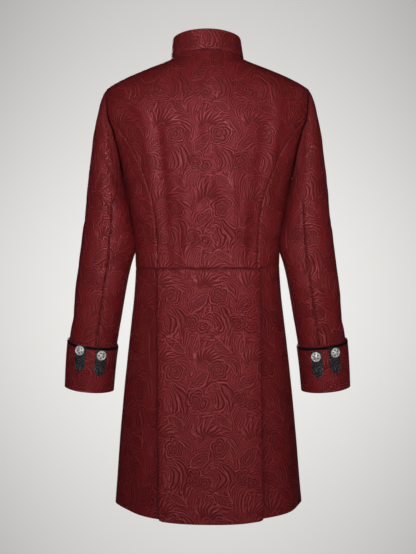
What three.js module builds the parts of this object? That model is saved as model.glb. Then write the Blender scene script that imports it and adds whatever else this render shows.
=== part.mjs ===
// A knee-length frock-style costume coat in brocade, worn open and hollow as on a body that isn't there.
// Millimetres, +Z up. The origin is the centre of the neck opening, level with the neck ends of the
// shoulder seams. The wearer faces -Y, so +Y is the back and +X the wearer's left.
import * as THREE from 'three';

// Driving dimensions of the cut
const wall = 1.8; // brocade and its backing
const seamGap = 0.3; // clear space left at every seam
const shoulderDrop = 66; // height lost from neck to shoulder point
const underarmDepth = 250; // neck to the bottom of the armhole
const waistDepth = 440; // neck to the waist seam
const sideHemDepth = 924; // neck to the hem at the side seams
const backHemExtra = 22; // the hem dips this much more at the centre back
const backHemCurve = 2.5; // and rises towards the sides the later the larger this is
const hemLean = 4; // the skirt hangs this far to the wearer's right at the hem
const neckHalfWidth = 76;
const neckFrontReach = 74; // neck opening in front of the shoulder line
const napeRise = 14; // the back neck stands this much above the shoulder seam's end
const armholeBackReach = 38;
const armholeFrontReach = 48;
const armholeClear = 1.2; // the sleeve starts this far outside the armhole
const frontLap = 20; // each front passes the centre by this much
const princessTop = 124; // depth at which the back seams leave the armholes
const princessBend = 2.7; // how quickly they come in from there
const panelHalfWidth = 103; // centre back skirt panel, and the seams above it
const pleatReturn = 19; // cloth folded back under each edge of that panel
const panelFoldRadius = 2.4;
const panelHemStep = 2; // the centre panel hangs this much below the sides, less at its edges
const panelLean = { top: 2, foot: 3 }; // how far the panel's middle is to the wearer's right
const sleeveLength = 622; // along z, from the shoulder point to the end of the cuff
const cuffHeight = 86;
const cuffRise = 3.4; // the cuff's top edge is this much higher on the outside of the arm
const cuffWall = 2.2;
const pipingHeight = 5.6; // of the flattened cord along that edge
const pipingDepth = 3.2;
const collarHeight = 41;
const collarWall = 2.4;
const collarLean = 4; // how far its top edge leans in
const collarBackLean = 2.5; // and the whole band towards the front
const buttonRadius = 10.2;
const buttonDrop = 10.4; // from the top of a tab to the middle of its button
const frontButtonCount = 7;
const frontButtonSpacing = 54;
const tabWidth = 19.5;
const tabLength = 54;
const tabWall = 1.6;
const tabClear = 0.6; // between the tab and the cuff

const degrees = Math.PI / 180;
const underarmZ = -underarmDepth;
const shoulderZ = -shoulderDrop;
const waistZ = -waistDepth;
const cuffEndZ = shoulderZ - sleeveLength;
const skirtRadius = 150; // rough radii, which turn a width along the cloth into an angle
const sleeveRadius = 48;
const tabRadius = 47;

// Level sections of the coat, from the hem to the nape: half width, depth behind and in front of the
// shoulder line, and how square the oval is (2 is an ellipse).
const bodySections = [
  { z: -950, half: 196, back: 163, front: 160, square: 2.25 },
  { z: -882, half: 190, back: 157, front: 154, square: 2.25 },
  { z: -798, half: 184, back: 150, front: 148, square: 2.25 },
  { z: -714, half: 177, back: 143, front: 142, square: 2.25 },
  { z: -630, half: 169, back: 135, front: 135, square: 2.25 },
  { z: -546, half: 160, back: 124, front: 127, square: 2.28 },
  { z: -490, half: 154, back: 111, front: 119, square: 2.3 },
  { z: -440, half: 150.5, back: 101, front: 113, square: 2.3 },
  { z: -405, half: 151.5, back: 101, front: 113, square: 2.3 },
  { z: -360, half: 156, back: 106, front: 116, square: 2.3 },
  { z: -300, half: 166, back: 114, front: 120, square: 2.28 },
  { z: -240, half: 178.5, back: 119, front: 121, square: 2.25 },
  { z: -200, half: 190, back: 119, front: 117, square: 2.15 },
  { z: -160, half: 204, back: 117, front: 109, square: 2.05 },
  { z: -120, half: 217, back: 113, front: 96, square: 2 },
  { z: -90, half: 217.5, back: 107, front: 83, square: 2 },
  { z: -66, half: 214, back: 101, front: 73, square: 2 },
  { z: -58, half: 205, back: 98, front: 69, square: 2 },
  { z: -42, half: 176, back: 92, front: 62, square: 2 },
  { z: -23, half: 132, back: 84, front: 56, square: 2 },
  { z: -4, half: 83, back: 75, front: 50, square: 2 },
  { z: 0, half: 76, back: 73, front: 47, square: 2 },
  { z: 16, half: 75, back: 66, front: 45, square: 2 },
];

// Soft vertical folds in the bodice: where each runs at its top and foot, its reach and its depth
// (negative stands out). Face 1 is the back of the coat and -1 the front.
const bodiceFolds = [
  { face: 1, topX: 112, footX: 82, topZ: -120, footZ: -436, reach: 13, depth: 4 },
  { face: 1, topX: 132, footX: 104, topZ: -100, footZ: -300, reach: 12, depth: -2.5 },
  { face: 1, topX: -2, footX: -8, topZ: -150, footZ: -438, reach: 15, depth: 3.2 },
  { face: 1, topX: -48, footX: -56, topZ: -220, footZ: -438, reach: 16, depth: -2.2 },
  { face: 1, topX: -146, footX: -128, topZ: -84, footZ: -260, reach: 12, depth: -3.2 },
  { face: 1, topX: -118, footX: -92, topZ: -150, footZ: -420, reach: 12, depth: 2.6 },
  { face: -1, topX: 96, footX: 66, topZ: -150, footZ: -438, reach: 16, depth: 2.8 },
  { face: -1, topX: -92, footX: -70, topZ: -170, footZ: -438, reach: 15, depth: 3.2 },
];

// Sleeve sections below the armhole: centre, half widths away from and towards the body, half depths
// behind and in front, and the tilt of the section seen from the front and from the side.
const sleeveSections = [
  { z: -300, x: 211.5, y: 2, outer: 42, inner: 44.2, back: 60, front: 62, roll: 4, pitch: 2 },
  { z: -350, x: 211, y: 3, outer: 49.5, inner: 52, back: 57, front: 59, roll: 5, pitch: 0 },
  { z: -386, x: 211.5, y: 3, outer: 53, inner: 58, back: 55, front: 56, roll: 6, pitch: 1 },
  { z: -412, x: 213.5, y: 3, outer: 54.5, inner: 57, back: 54, front: 54, roll: 7, pitch: 2 },
  { z: -462, x: 221, y: 1, outer: 53, inner: 53.5, back: 51, front: 50, roll: 7, pitch: 5 },
  { z: -546, x: 233.5, y: -8, outer: 51, inner: 51, back: 47, front: 46, roll: 6, pitch: 8 },
  { z: -600, x: 242, y: -16, outer: 50, inner: 50, back: 45, front: 44, roll: 5, pitch: 9 },
  { z: -690, x: 250.5, y: -30, outer: 49.5, inner: 49.5, back: 44, front: 43, roll: 5, pitch: 9 },
];

// Folds across the sleeves: height, turn about the sleeve (0 faces away from the body and 90 the
// back), reach along and around, slant and depth.
const sleeveFolds = [
  { z: -214, turn: 62, along: 10, around: 34, slant: -0.5, depth: 2.6 },
  { z: -300, turn: 70, along: 9, around: 40, slant: 0.45, depth: 2.6 },
  { z: -378, turn: 110, along: 10, around: 46, slant: -0.5, depth: 3.4 },
  { z: -430, turn: 100, along: 9, around: 42, slant: 0.55, depth: 2.8 },
  { z: -404, turn: 236, along: 11, around: 60, slant: 0.2, depth: 4 },
  { z: -446, turn: 250, along: 10, around: 52, slant: -0.25, depth: 3.2 },
  { z: -560, turn: 70, along: 9, around: 36, slant: 0.6, depth: 2.2 },
];

const colours = { cloth: '#6d1a20', trim: '#0d0b0c', tab: '#26272a', metal: '#b9b6ae' };
const finish = {
  cloth: new THREE.MeshStandardMaterial({ color: colours.cloth, roughness: 0.72, metalness: 0 }),
  trim: new THREE.MeshStandardMaterial({ color: colours.trim, roughness: 0.8, metalness: 0 }),
  tab: new THREE.MeshStandardMaterial({ color: colours.tab, roughness: 0.55, metalness: 0 }),
  metal: new THREE.MeshStandardMaterial({ color: colours.metal, roughness: 0.35, metalness: 1 }),
};

const lerp = THREE.MathUtils.lerp;
const smoothstep = THREE.MathUtils.smoothstep;

// Reads a column of a table at any height, along a smooth curve that never overshoots its rows.
function readTable(rows, column, z) {
  const sorted = rows[0].z < rows[1].z ? rows : [...rows].reverse();
  const last = sorted.length - 1;
  if (z <= sorted[0].z) return sorted[0][column];
  if (z >= sorted[last].z) return sorted[last][column];
  let i = 0;
  while (z > sorted[i + 1].z) i += 1;
  const rise = (k) => (sorted[k + 1][column] - sorted[k][column]) / (sorted[k + 1].z - sorted[k].z);
  const slope = (k) => {
    if (k === 0) return rise(0);
    if (k === last) return rise(last - 1);
    const before = rise(k - 1);
    const after = rise(k);
    return before * after <= 0 ? 0 : (2 * before * after) / (before + after);
  };
  const span = sorted[i + 1].z - sorted[i].z;
  const t = (z - sorted[i].z) / span;
  const rest = 1 - t;
  return (
    sorted[i][column] * (1 + 2 * t) * rest * rest +
    slope(i) * span * t * rest * rest +
    sorted[i + 1][column] * t * t * (3 - 2 * t) +
    slope(i + 1) * span * t * t * (t - 1)
  );
}

const section = (z) => ({
  half: readTable(bodySections, 'half', z),
  back: readTable(bodySections, 'back', z),
  front: readTable(bodySections, 'front', z),
  square: readTable(bodySections, 'square', z),
});

// The turn about the body, 0 at the centre back and 180 at the centre front, at which a level section
// is this far from the middle. Negative turns are on the wearer's right.
function turnAtX(x, z, face) {
  const s = section(z);
  const turn = Math.asin(Math.min(1, Math.abs(x) / s.half) ** (s.square / 2));
  return Math.sign(x || 1) * (face > 0 ? turn : Math.PI - turn);
}

// The same for a distance behind (positive) or in front of the shoulder line.
function turnAtY(y, z) {
  const s = section(z);
  const depth = y > 0 ? s.back : s.front;
  const turn = Math.acos(Math.min(1, Math.abs(y) / depth) ** (s.square / 2));
  return y > 0 ? turn : Math.PI - turn;
}

// How deep the bodice's folds are at a place. Each grows over its first third and dies away at its foot.
function foldDepth(x, z, face) {
  let depth = 0;
  for (const f of bodiceFolds) {
    if (f.face !== face || z > f.topZ || z < f.footZ - 12) continue;
    const along = (f.topZ - z) / (f.topZ - f.footZ);
    const middle = lerp(f.topX, f.footX, along);
    const fade = smoothstep(along, 0, 0.35) * (1 - 0.6 * smoothstep(along, 0.8, 1.05));
    depth += f.depth * fade * Math.exp(-(((x - middle) / f.reach) ** 2));
  }
  return depth;
}

// The outside of the cloth at a turn and a height, pushed out by a lift.
function bodyPoint(turn, z, lift = 0) {
  const s = section(z);
  const sin = Math.sin(turn);
  const cos = Math.cos(turn);
  const power = 2 / s.square;
  const x = s.half * Math.sign(sin) * Math.abs(sin) ** power;
  const y = (cos > 0 ? s.back : s.front) * Math.sign(cos) * Math.abs(cos) ** power;
  const out = lift - (z > waistZ - 12 ? foldDepth(x, z, cos > 0 ? 1 : -1) : 0) * Math.abs(cos) ** 0.5;
  const reach = Math.hypot(x, y);
  return new THREE.Vector3(x * (1 + out / reach), y * (1 + out / reach), z);
}

// The way out of the cloth there, from four points close by.
function bodyNormal(turn, z) {
  const step = 0.012;
  const across = bodyPoint(turn + step, z).sub(bodyPoint(turn - step, z));
  const up = bodyPoint(turn, z + 1.5).sub(bodyPoint(turn, z - 1.5));
  return across.cross(up).normalize().negate();
}

// A closed solid from a grid of paired points, face side and wrong side. A ring grid joins its last
// column to its first.
function clothSolid(name, material, grid, ring = false) {
  const rows = grid.length;
  const columns = grid[0].length;
  const positions = [];
  for (const side of ['face', 'wrong'])
    for (const row of grid) for (const pair of row) positions.push(...pair[side].toArray());
  const at = (side, row, column) => side * rows * columns + row * columns + (column % columns);
  const triangles = [];
  const quad = (a, b, c, d) => triangles.push(a, b, c, a, c, d);
  const lastColumn = ring ? columns : columns - 1;
  for (let r = 0; r < rows - 1; r++)
    for (let c = 0; c < lastColumn; c++) {
      quad(at(0, r, c), at(0, r, c + 1), at(0, r + 1, c + 1), at(0, r + 1, c));
      quad(at(1, r, c), at(1, r + 1, c), at(1, r + 1, c + 1), at(1, r, c + 1));
    }
  for (let c = 0; c < lastColumn; c++) {
    quad(at(0, 0, c + 1), at(0, 0, c), at(1, 0, c), at(1, 0, c + 1));
    quad(at(0, rows - 1, c), at(0, rows - 1, c + 1), at(1, rows - 1, c + 1), at(1, rows - 1, c));
  }
  if (!ring)
    for (let r = 0; r < rows - 1; r++) {
      const end = columns - 1;
      quad(at(0, r, 0), at(0, r + 1, 0), at(1, r + 1, 0), at(1, r, 0));
      quad(at(0, r + 1, end), at(0, r, end), at(1, r, end), at(1, r + 1, end));
    }
  return solidMesh(name, material, positions, triangles);
}

// A mesh whose faces are turned to point out of its solid.
function solidMesh(name, material, positions, triangles) {
  const corner = (i) => new THREE.Vector3().fromArray(positions, triangles[i] * 3);
  let volume = 0;
  for (let i = 0; i < triangles.length; i += 3) volume += corner(i).dot(corner(i + 1).cross(corner(i + 2)));
  if (volume < 0) triangles.reverse();
  const geometry = new THREE.BufferGeometry();
  geometry.setAttribute('position', new THREE.Float32BufferAttribute(positions, 3));
  geometry.setIndex(triangles);
  geometry.computeVertexNormals();
  const mesh = new THREE.Mesh(geometry, material);
  mesh.name = name;
  return mesh;
}

// A panel of the bodice between two seams, row by row up from the waist.
function bodicePanel(name, heights, columns, edges, liftAt = () => 0) {
  const grid = heights.map((height) => {
    const [from, to] = edges(height);
    const inset = (0.5 * seamGap) / section(height).half;
    return Array.from({ length: columns + 1 }, (_, c) => {
      const turn = lerp(from + inset, to - inset, c / columns);
      const z = height + neckLift(height, turn);
      const lift = liftAt(turn, z);
      const normal = bodyNormal(turn, z);
      const face = bodyPoint(turn, z, lift);
      return { face, wrong: face.clone().addScaledVector(normal, -wall) };
    });
  });
  return clothSolid(name, finish.cloth, grid);
}

// The back neck rises above the ends of the shoulder seams.
const neckLift = (height, turn) =>
  napeRise * Math.max(0, Math.cos(turn)) ** 2 * smoothstep(height, shoulderZ, 0);

const armholeMiddleZ = (shoulderZ + underarmZ) / 2;
const armholeHalfZ = (shoulderZ - underarmZ) / 2;

// How far an armhole reaches behind or in front of the shoulder line at a height, never quite zero.
function armholeReach(z, reach) {
  const up = THREE.MathUtils.clamp((z - armholeMiddleZ) / armholeHalfZ, -1, 1);
  return Math.max(0.01, reach * Math.sqrt(1 - up * up));
}

// The turn of the back seam, from the armhole down to the edge of the skirt's centre panel.
function princessTurn(z) {
  const along = THREE.MathUtils.clamp((-z - princessTop) / (waistDepth - princessTop), 0, 1);
  const topTurn = turnAtY(armholeReach(-princessTop, armholeBackReach), -princessTop);
  const topX = bodyPoint(topTurn, -princessTop).x;
  const x = panelHalfWidth + (topX - panelHalfWidth) * (1 - along) ** princessBend;
  return turnAtX(x, z, 1);
}

// The turn at which a level section of the front crosses the neck opening.
function neckTurn(z) {
  let inside = Math.PI;
  let outside = Math.PI / 2;
  for (let i = 0; i < 40; i++) {
    const turn = (inside + outside) / 2;
    const p = bodyPoint(turn, z);
    if ((p.x / neckHalfWidth) ** 2 + (p.y / neckFrontReach) ** 2 > 1) outside = turn;
    else inside = turn;
  }
  return inside;
}

const neckFrontZ = -69; // where the neck opening crosses the centre front
const bodiceHeights = [
  waistZ + 0.5 * seamGap, -408, -374, -338, -300, -272, -250, -222, -190, -165, -146, -132, -124,
  -104, -86, -76, -69, -66, -60, -52, -36, -20, -8, -1,
];

// Outer edge of the centre back: the back seam, then the armhole, then the shoulder seam.
function backEdge(z) {
  if (z < -princessTop) return princessTurn(z);
  if (z < shoulderZ) return turnAtY(armholeReach(z, armholeBackReach), z);
  return Math.PI / 2;
}

function sideBackEdge(z) {
  return z < underarmZ ? Math.PI / 2 : turnAtY(armholeReach(z, armholeBackReach), z);
}

function frontSideEdge(z) {
  if (z <= underarmZ || z >= shoulderZ) return Math.PI / 2;
  return turnAtY(-armholeReach(z, armholeFrontReach), z);
}

// Centre edge of a front: past the centre by the lap, then along the neck opening.
function frontCentreEdge(z) {
  if (z < neckFrontZ - 4) return 2 * Math.PI - turnAtX(frontLap, z, -1);
  return Math.min(neckTurn(z), Math.PI);
}

// The wearer's left front lies over the right one.
const lapLift = (turn, z) => {
  const x = bodyPoint(turn, z).x;
  return (wall + seamGap + 0.5) * (1 - smoothstep(x, frontLap + 8, frontLap + 48));
};

const mirrored = (edges) => (z) => edges(z).map((turn) => -turn).reverse();

function bodice() {
  const parts = [];
  parts.push(bodicePanel('back_centre', bodiceHeights, 20, (z) => [-backEdge(z), backEdge(z)]));
  const sideHeights = bodiceHeights.filter((z) => z < -princessTop);
  const sideEdges = (z) => [princessTurn(z), sideBackEdge(z)];
  parts.push(bodicePanel('side_back_left', sideHeights, 5, sideEdges));
  parts.push(bodicePanel('side_back_right', sideHeights, 5, mirrored(sideEdges)));
  const frontEdges = (z) => [frontSideEdge(z), frontCentreEdge(z)];
  const frontHeights = [...bodiceHeights, neckFrontZ, neckFrontZ + 1.2].sort((a, b) => a - b);
  parts.push(bodicePanel('front_left', frontHeights, 9, frontEdges, lapLift));
  parts.push(bodicePanel('front_right', frontHeights, 9, mirrored(frontEdges)));
  return parts;
}

// The hem dips a little at the centre back.
function hemZ(turn) {
  const dip = Math.cos(turn) > 0 ? 1 - Math.abs(Math.sin(turn)) ** backHemCurve : 0;
  return -sideHemDepth - backHemExtra * dip;
}

const skirtRows = 10;
const skirtTopZ = waistZ - 0.5 * seamGap;

const panelMiddle = (along) => -lerp(panelLean.top, panelLean.foot, along);

// The skirt's sides sink beside the centre panel, so the pleats open towards the hem.
function pleatSink(turn, along) {
  if (Math.cos(turn) < 0) return 0;
  const x = bodyPoint(turn, lerp(skirtTopZ, hemZ(turn), along)).x;
  const fromEdge = Math.abs(x - panelMiddle(along)) - panelHalfWidth;
  return (1 + 9 * along) * smoothstep(along, 0, 0.12) * Math.exp(-((fromEdge / 34) ** 2));
}

// A side or front panel of the skirt, between two edges given as turns at each share of its length.
function skirtPanel(name, columns, edges, liftAt = () => 0) {
  const grid = Array.from({ length: skirtRows + 1 }, (_, r) => {
    const along = r / skirtRows;
    const [from, to] = edges(along);
    const inset = (0.5 * seamGap) / skirtRadius;
    return Array.from({ length: columns + 1 }, (_, c) => {
      const turn = lerp(from + inset, to - inset, c / columns);
      const z = lerp(skirtTopZ, hemZ(turn), along);
      const face = bodyPoint(turn, z, liftAt(turn, z) - pleatSink(turn, along));
      return { face, wrong: face.clone().addScaledVector(bodyNormal(turn, z), -wall) };
    });
  });
  return clothSolid(name, finish.cloth, grid);
}

// The centre back panel: one piece whose edges turn under, standing over the side panels.
function centreSkirt() {
  const middleLift = 0.8;
  const under = 0.6; // clear space below the cloth that is folded back
  const liftFrom = 55; // the panel begins to rise to its edge this far from its middle
  const foldX = panelHalfWidth - panelFoldRadius;
  const edgeLift = 2 * panelFoldRadius + under;
  const flatLift = (x) => lerp(middleLift, edgeLift, smoothstep(x, liftFrom, foldX - 4));
  const flat = [0, 26, 50, 66, 80, 91].map((x) => ({ x, face: flatLift(x), wrong: flatLift(x) - wall }));
  const fold = [0, 60, 120, 180].map((turn) => ({ x: foldX, fold: turn * degrees }));
  const back = { x: foldX - pleatReturn, face: under, wrong: under + wall };
  const right = [...flat, ...fold, back].map((c) => ({ ...c, side: 1 }));
  const left = right.slice(1).map((c) => ({ ...c, side: -1 }));
  const columns = [...left.reverse(), ...right];
  const grid = Array.from({ length: skirtRows + 1 }, (_, r) => {
    const along = r / skirtRows;
    return columns.map((c) => {
      const guess = lerp(skirtTopZ, hemZ(0), along);
      const turn = turnAtX(c.side * c.x + panelMiddle(along), guess, 1);
      const step = panelHemStep * (1 - 0.8 * smoothstep(c.x, liftFrom, foldX));
      const z = lerp(skirtTopZ, hemZ(turn) - step, along);
      const normal = bodyNormal(turn, z);
      const across = new THREE.Vector3(normal.y, -normal.x, 0).normalize().multiplyScalar(c.side);
      const base = bodyPoint(turn, z);
      const place = (out, beside) =>
        base.clone().addScaledVector(normal, out).addScaledVector(across, beside);
      if (c.fold === undefined) return { face: place(c.face, 0), wrong: place(c.wrong, 0) };
      const middle = edgeLift - panelFoldRadius;
      const round = (radius) => place(middle + radius * Math.cos(c.fold), radius * Math.sin(c.fold));
      return { face: round(panelFoldRadius), wrong: round(panelFoldRadius - wall) };
    });
  });
  return clothSolid('skirt_back', finish.cloth, grid);
}

// Leans a piece of the skirt over, more and more towards the hem.
function leanSkirt(mesh) {
  const place = mesh.geometry.getAttribute('position');
  for (let i = 0; i < place.count; i++) {
    const along = Math.max(0, waistZ - place.getZ(i)) / (sideHemDepth - waistDepth);
    place.setX(i, place.getX(i) - hemLean * along);
  }
  mesh.geometry.computeVertexNormals();
  return mesh;
}

function skirt() {
  const quarter = Math.PI / 2;
  const sideEdges = (side) => (along) => {
    const z = lerp(skirtTopZ, hemZ(0.6), along);
    const tuckedIn = panelHalfWidth - pleatReturn - 6; // the side panel's edge lies under the pleat
    return [turnAtX(tuckedIn + side * panelMiddle(along), z, 1), quarter];
  };
  const frontEdges = (along) => {
    const z = lerp(skirtTopZ, hemZ(Math.PI), along);
    return [quarter, 2 * Math.PI - turnAtX(frontLap, z, -1)];
  };
  return [
    centreSkirt(),
    skirtPanel('skirt_side_left', 8, sideEdges(1)),
    skirtPanel('skirt_side_right', 8, mirrored(sideEdges(-1))),
    skirtPanel('skirt_front_left', 9, frontEdges, lapLift),
    skirtPanel('skirt_front_right', 9, mirrored(frontEdges)),
  ].map(leanSkirt);
}

// The stand collar: a band that rises from the neck opening and leans in a little.
function neckPoint(turn) {
  const side = Math.abs(turn);
  if (side <= Math.PI / 2) return bodyPoint(turn, napeRise * Math.cos(side) ** 2);
  const x = neckHalfWidth * Math.sin(side);
  const y = neckFrontReach * Math.cos(side);
  let low = neckFrontZ;
  let high = 0;
  for (let i = 0; i < 40; i++) {
    const z = (low + high) / 2;
    const s = section(z);
    if ((x / s.half) ** s.square + (-y / s.front) ** s.square > 1) high = z;
    else low = z;
  }
  return new THREE.Vector3(Math.sign(turn) * x, y, (low + high) / 2);
}

function collarSolid() {
  const columns = 30;
  const rows = 4;
  const frontGap = 2.4 * degrees;
  const foot = 0.5; // clear of the neck seam
  const grid = Array.from({ length: rows + 1 }, (_, r) => {
    const up = r / rows;
    return Array.from({ length: columns + 1 }, (_, c) => {
      const turn = lerp(-Math.PI + frontGap, Math.PI - frontGap, c / columns);
      const face = neckPoint(turn);
      const side = Math.abs(turn);
      const backRise = 0.05 * smoothstep(side, 0, 60 * degrees);
      const sideDrop = 0.19 * smoothstep(side, 66 * degrees, 98 * degrees);
      const frontDrop = 0.4 * smoothstep(side, 155 * degrees, Math.PI) ** 3;
      const inward = new THREE.Vector3(-face.x, -face.y, 0).normalize();
      face.addScaledVector(inward, collarLean * up);
      face.z += foot + collarHeight * (1 + backRise - sideDrop) * (1 - frontDrop) * up;
      face.y -= collarBackLean * up;
      return { face, wrong: face.clone().addScaledVector(inward, collarWall) };
    });
  });
  return clothSolid('collar', finish.cloth, grid);
}

// A point of the armhole's edge, turn 0 at the shoulder point and 90 at the back, on the +X side.
function armholePoint(turn) {
  const y = Math.sin(turn) * (Math.sin(turn) > 0 ? armholeBackReach : armholeFrontReach);
  const z = armholeMiddleZ + armholeHalfZ * Math.cos(turn);
  const s = section(z);
  const depth = y > 0 ? s.back : s.front;
  const x = s.half * (1 - (Math.abs(y) / depth) ** s.square) ** (1 / s.square);
  return new THREE.Vector3(x, y, z);
}

// A point of a sleeve below its head. Turn is about the sleeve, and z is the height of its middle.
function sleeveTubePoint(turn, z, lift = 0) {
  const read = (column) => readTable(sleeveSections, column, z);
  const sin = Math.sin(turn);
  const cos = Math.cos(turn);
  const roll = read('roll') * degrees;
  const pitch = read('pitch') * degrees;
  const wide = cos * (read(cos > 0 ? 'outer' : 'inner') + lift);
  const deep = sin * (read(sin > 0 ? 'back' : 'front') + lift);
  return new THREE.Vector3(
    read('x') + wide * Math.cos(roll),
    read('y') + deep * Math.cos(pitch),
    z + wide * Math.sin(roll) - deep * Math.sin(pitch),
  );
}

const headEndZ = sleeveSections[0].z;
const sleeveTubeEndZ = -689;

function sleeveFoldDepth(turn, z) {
  let depth = 0;
  for (const f of sleeveFolds) {
    const apart = ((turn / degrees - f.turn + 540) % 360) - 180;
    const rise = z - f.z - f.slant * apart;
    depth += f.depth * Math.exp(-((apart / f.around) ** 2) - (rise / f.along) ** 2);
  }
  return depth;
}

// A point of the whole sleeve: along runs from 0 at the armhole to 1 at the head's end, then to 2 at
// the wrist. The head curves out of the armhole and down into the tube.
function sleevePoint(turn, along) {
  if (along >= 1) {
    const z = lerp(headEndZ, sleeveTubeEndZ, along - 1);
    return sleeveTubePoint(turn, z, -sleeveFoldDepth(turn, z));
  }
  const start = armholePoint(turn);
  start.x += armholeClear;
  const end = sleeveTubePoint(turn, headEndZ, -sleeveFoldDepth(turn, headEndZ));
  const span = start.distanceTo(end);
  const top = (1 + Math.cos(turn)) / 2;
  const leave = new THREE.Vector3(0.12 + 0.42 * top, 0.35 * Math.sin(turn), -1 + 0.2 * top)
    .normalize()
    .multiplyScalar(span * (0.9 - 0.45 * top));
  const arrive = new THREE.Vector3(0.1, 0, -1).normalize().multiplyScalar(span * 0.9);
  const rest = 1 - along;
  return start
    .multiplyScalar((1 + 2 * along) * rest * rest)
    .addScaledVector(leave, along * rest * rest)
    .addScaledVector(end, along * along * (3 - 2 * along))
    .addScaledVector(arrive, along * along * (along - 1));
}

function sleeveNormal(turn, along) {
  const step = 0.02;
  const low = along < 0.02 ? 0 : along - 0.01;
  const across = sleevePoint(turn + step, along).sub(sleevePoint(turn - step, along));
  const down = sleevePoint(turn, Math.min(2, low + 0.02)).sub(sleevePoint(turn, low));
  return across.cross(down).normalize();
}

const flipSide = (point, side) => new THREE.Vector3(point.x * side, point.y, point.z);
const backSeamTurn = (along) => lerp(124, 100, smoothstep(along, 0.7, 1.3)) * degrees;
const frontSeamTurn = 228 * degrees;
const sleeveAlongs = [
  0, 0.12, 0.28, 0.46, 0.66, 0.85, 1, 1.1, 1.19, 1.27, 1.34, 1.42, 1.54, 1.66, 1.77, 1.88, 2,
];

function sleevePanel(name, side, columns, edges) {
  const grid = sleeveAlongs.map((along) => {
    const [from, to] = edges(along);
    const inset = (0.5 * seamGap) / sleeveRadius;
    return Array.from({ length: columns + 1 }, (_, c) => {
      const turn = lerp(from + inset, to - inset, c / columns);
      const face = sleevePoint(turn, along);
      const outward = sleeveNormal(turn, along);
      if (outward.dot(face.clone().sub(sleeveAxis(along))) < 0) outward.negate();
      const wrong = face.clone().addScaledVector(outward, -wall);
      return { face: flipSide(face, side), wrong: flipSide(wrong, side) };
    });
  });
  return clothSolid(name, finish.cloth, grid);
}

// The middle of the sleeve's section.
function sleeveAxis(along) {
  const middle = new THREE.Vector3();
  for (let k = 0; k < 4; k++) middle.addScaledVector(sleevePoint(k * 90 * degrees, along), 0.25);
  return middle;
}

// The turned-back cuff stands clear of the sleeve, a little more at its top edge.
const cuffTopZ = (turn) => cuffEndZ + cuffHeight + cuffRise * 0.5 * (1 + Math.cos(turn));
const cuffLift = (z) => lerp(cuffWall + 0.6, cuffWall + 2, (z - cuffEndZ) / cuffHeight);
const cuffPoint = (turn, z, lift = 0) => sleeveTubePoint(turn, z, cuffLift(z) + lift);

function cuffSolid(name, side) {
  const columns = 24;
  const rows = 3;
  const grid = Array.from({ length: rows + 1 }, (_, r) =>
    Array.from({ length: columns }, (_, c) => {
      const turn = (c / columns) * 2 * Math.PI;
      const z = lerp(cuffEndZ - 2, cuffTopZ(turn), r / rows);
      const place = (lift) => flipSide(cuffPoint(turn, z, lift), side);
      return { face: place(0), wrong: place(-cuffWall) };
    }),
  );
  return clothSolid(name, finish.cloth, grid, true);
}

// A flattened cord sewn along the cuff's top edge.
function cuffPiping(name, side) {
  const columns = 24;
  const around = 6;
  const middleLift = -0.5 * cuffWall - 0.3;
  const positions = [];
  const triangles = [];
  for (let c = 0; c < columns; c++) {
    const turn = (c / columns) * 2 * Math.PI;
    for (let k = 0; k < around; k++) {
      const a = (k / around) * 2 * Math.PI;
      const p = cuffPoint(turn, cuffTopZ(turn), middleLift + 0.5 * pipingDepth * Math.cos(a));
      p.z += seamGap + 0.5 * pipingHeight * (1 + Math.sin(a));
      positions.push(p.x * side, p.y, p.z);
    }
  }
  for (let c = 0; c < columns; c++)
    for (let k = 0; k < around; k++) {
      const a = c * around + k;
      const b = c * around + ((k + 1) % around);
      const d = ((c + 1) % columns) * around + k;
      const e = ((c + 1) % columns) * around + ((k + 1) % around);
      triangles.push(a, b, e, a, e, d);
    }
  return solidMesh(name, finish.trim, positions, triangles);
}

// Tabs on the back of each cuff, sewn on by hand and so not quite alike: the turn about the sleeve, and
// the height of a tab's top above the cuff's end.
const tabs = {
  left: { outer: { turn: 67 * degrees, top: 95.6 }, inner: { turn: 113 * degrees, top: 88.8 } },
  right: { outer: { turn: 67 * degrees, top: 91 }, inner: { turn: 108 * degrees, top: 86 } },
};

// A tab that lies on the cuff, square at the top and rounded at the foot.
function cuffTab(name, side, tab) {
  const rows = 8;
  const columns = 4;
  const bend = tabWidth * 0.55; // height of the rounded foot
  const grid = Array.from({ length: rows + 1 }, (_, r) => {
    const down = (r / rows) ** 0.8 * tabLength;
    const intoBend = Math.max(0, 1 - (tabLength - down) / bend);
    const half = 0.5 * tabWidth * Math.sqrt(Math.max(0.04, 1 - intoBend ** 2));
    return Array.from({ length: columns + 1 }, (_, c) => {
      const across = lerp(-half, half, c / columns);
      const turn = tab.turn + across / tabRadius;
      const z = cuffEndZ + tab.top - down;
      return {
        face: flipSide(cuffPoint(turn, z, tabClear + tabWall), side),
        wrong: flipSide(cuffPoint(turn, z, tabClear), side),
      };
    });
  });
  return clothSolid(name, finish.tab, grid);
}

// A domed shank button: a flat back, a rolled rim, a hollow ring and a raised boss.
function buttonMesh(name, centre, outward) {
  const profile = [
    [0, 0],
    [0.72, 0],
    [0.97, 0.16],
    [1, 0.3],
    [0.88, 0.44],
    [0.62, 0.5],
    [0.34, 0.62],
    [0, 0.66],
  ].map(([across, up]) => new THREE.Vector2(across * buttonRadius, up * buttonRadius));
  const geometry = new THREE.LatheGeometry(profile, 16);
  const mesh = new THREE.Mesh(geometry, finish.metal);
  mesh.name = name;
  mesh.quaternion.setFromUnitVectors(new THREE.Vector3(0, 1, 0), outward.clone().normalize());
  mesh.position.copy(centre);
  return mesh;
}

function cuffButton(name, side, tab) {
  const z = cuffEndZ + tab.top - buttonDrop;
  const clear = tabClear + tabWall + seamGap + 0.2;
  const centre = flipSide(cuffPoint(tab.turn, z, clear), side);
  const out = flipSide(cuffPoint(tab.turn, z, clear + 10), side).sub(centre);
  return buttonMesh(name, centre, out);
}

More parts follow.
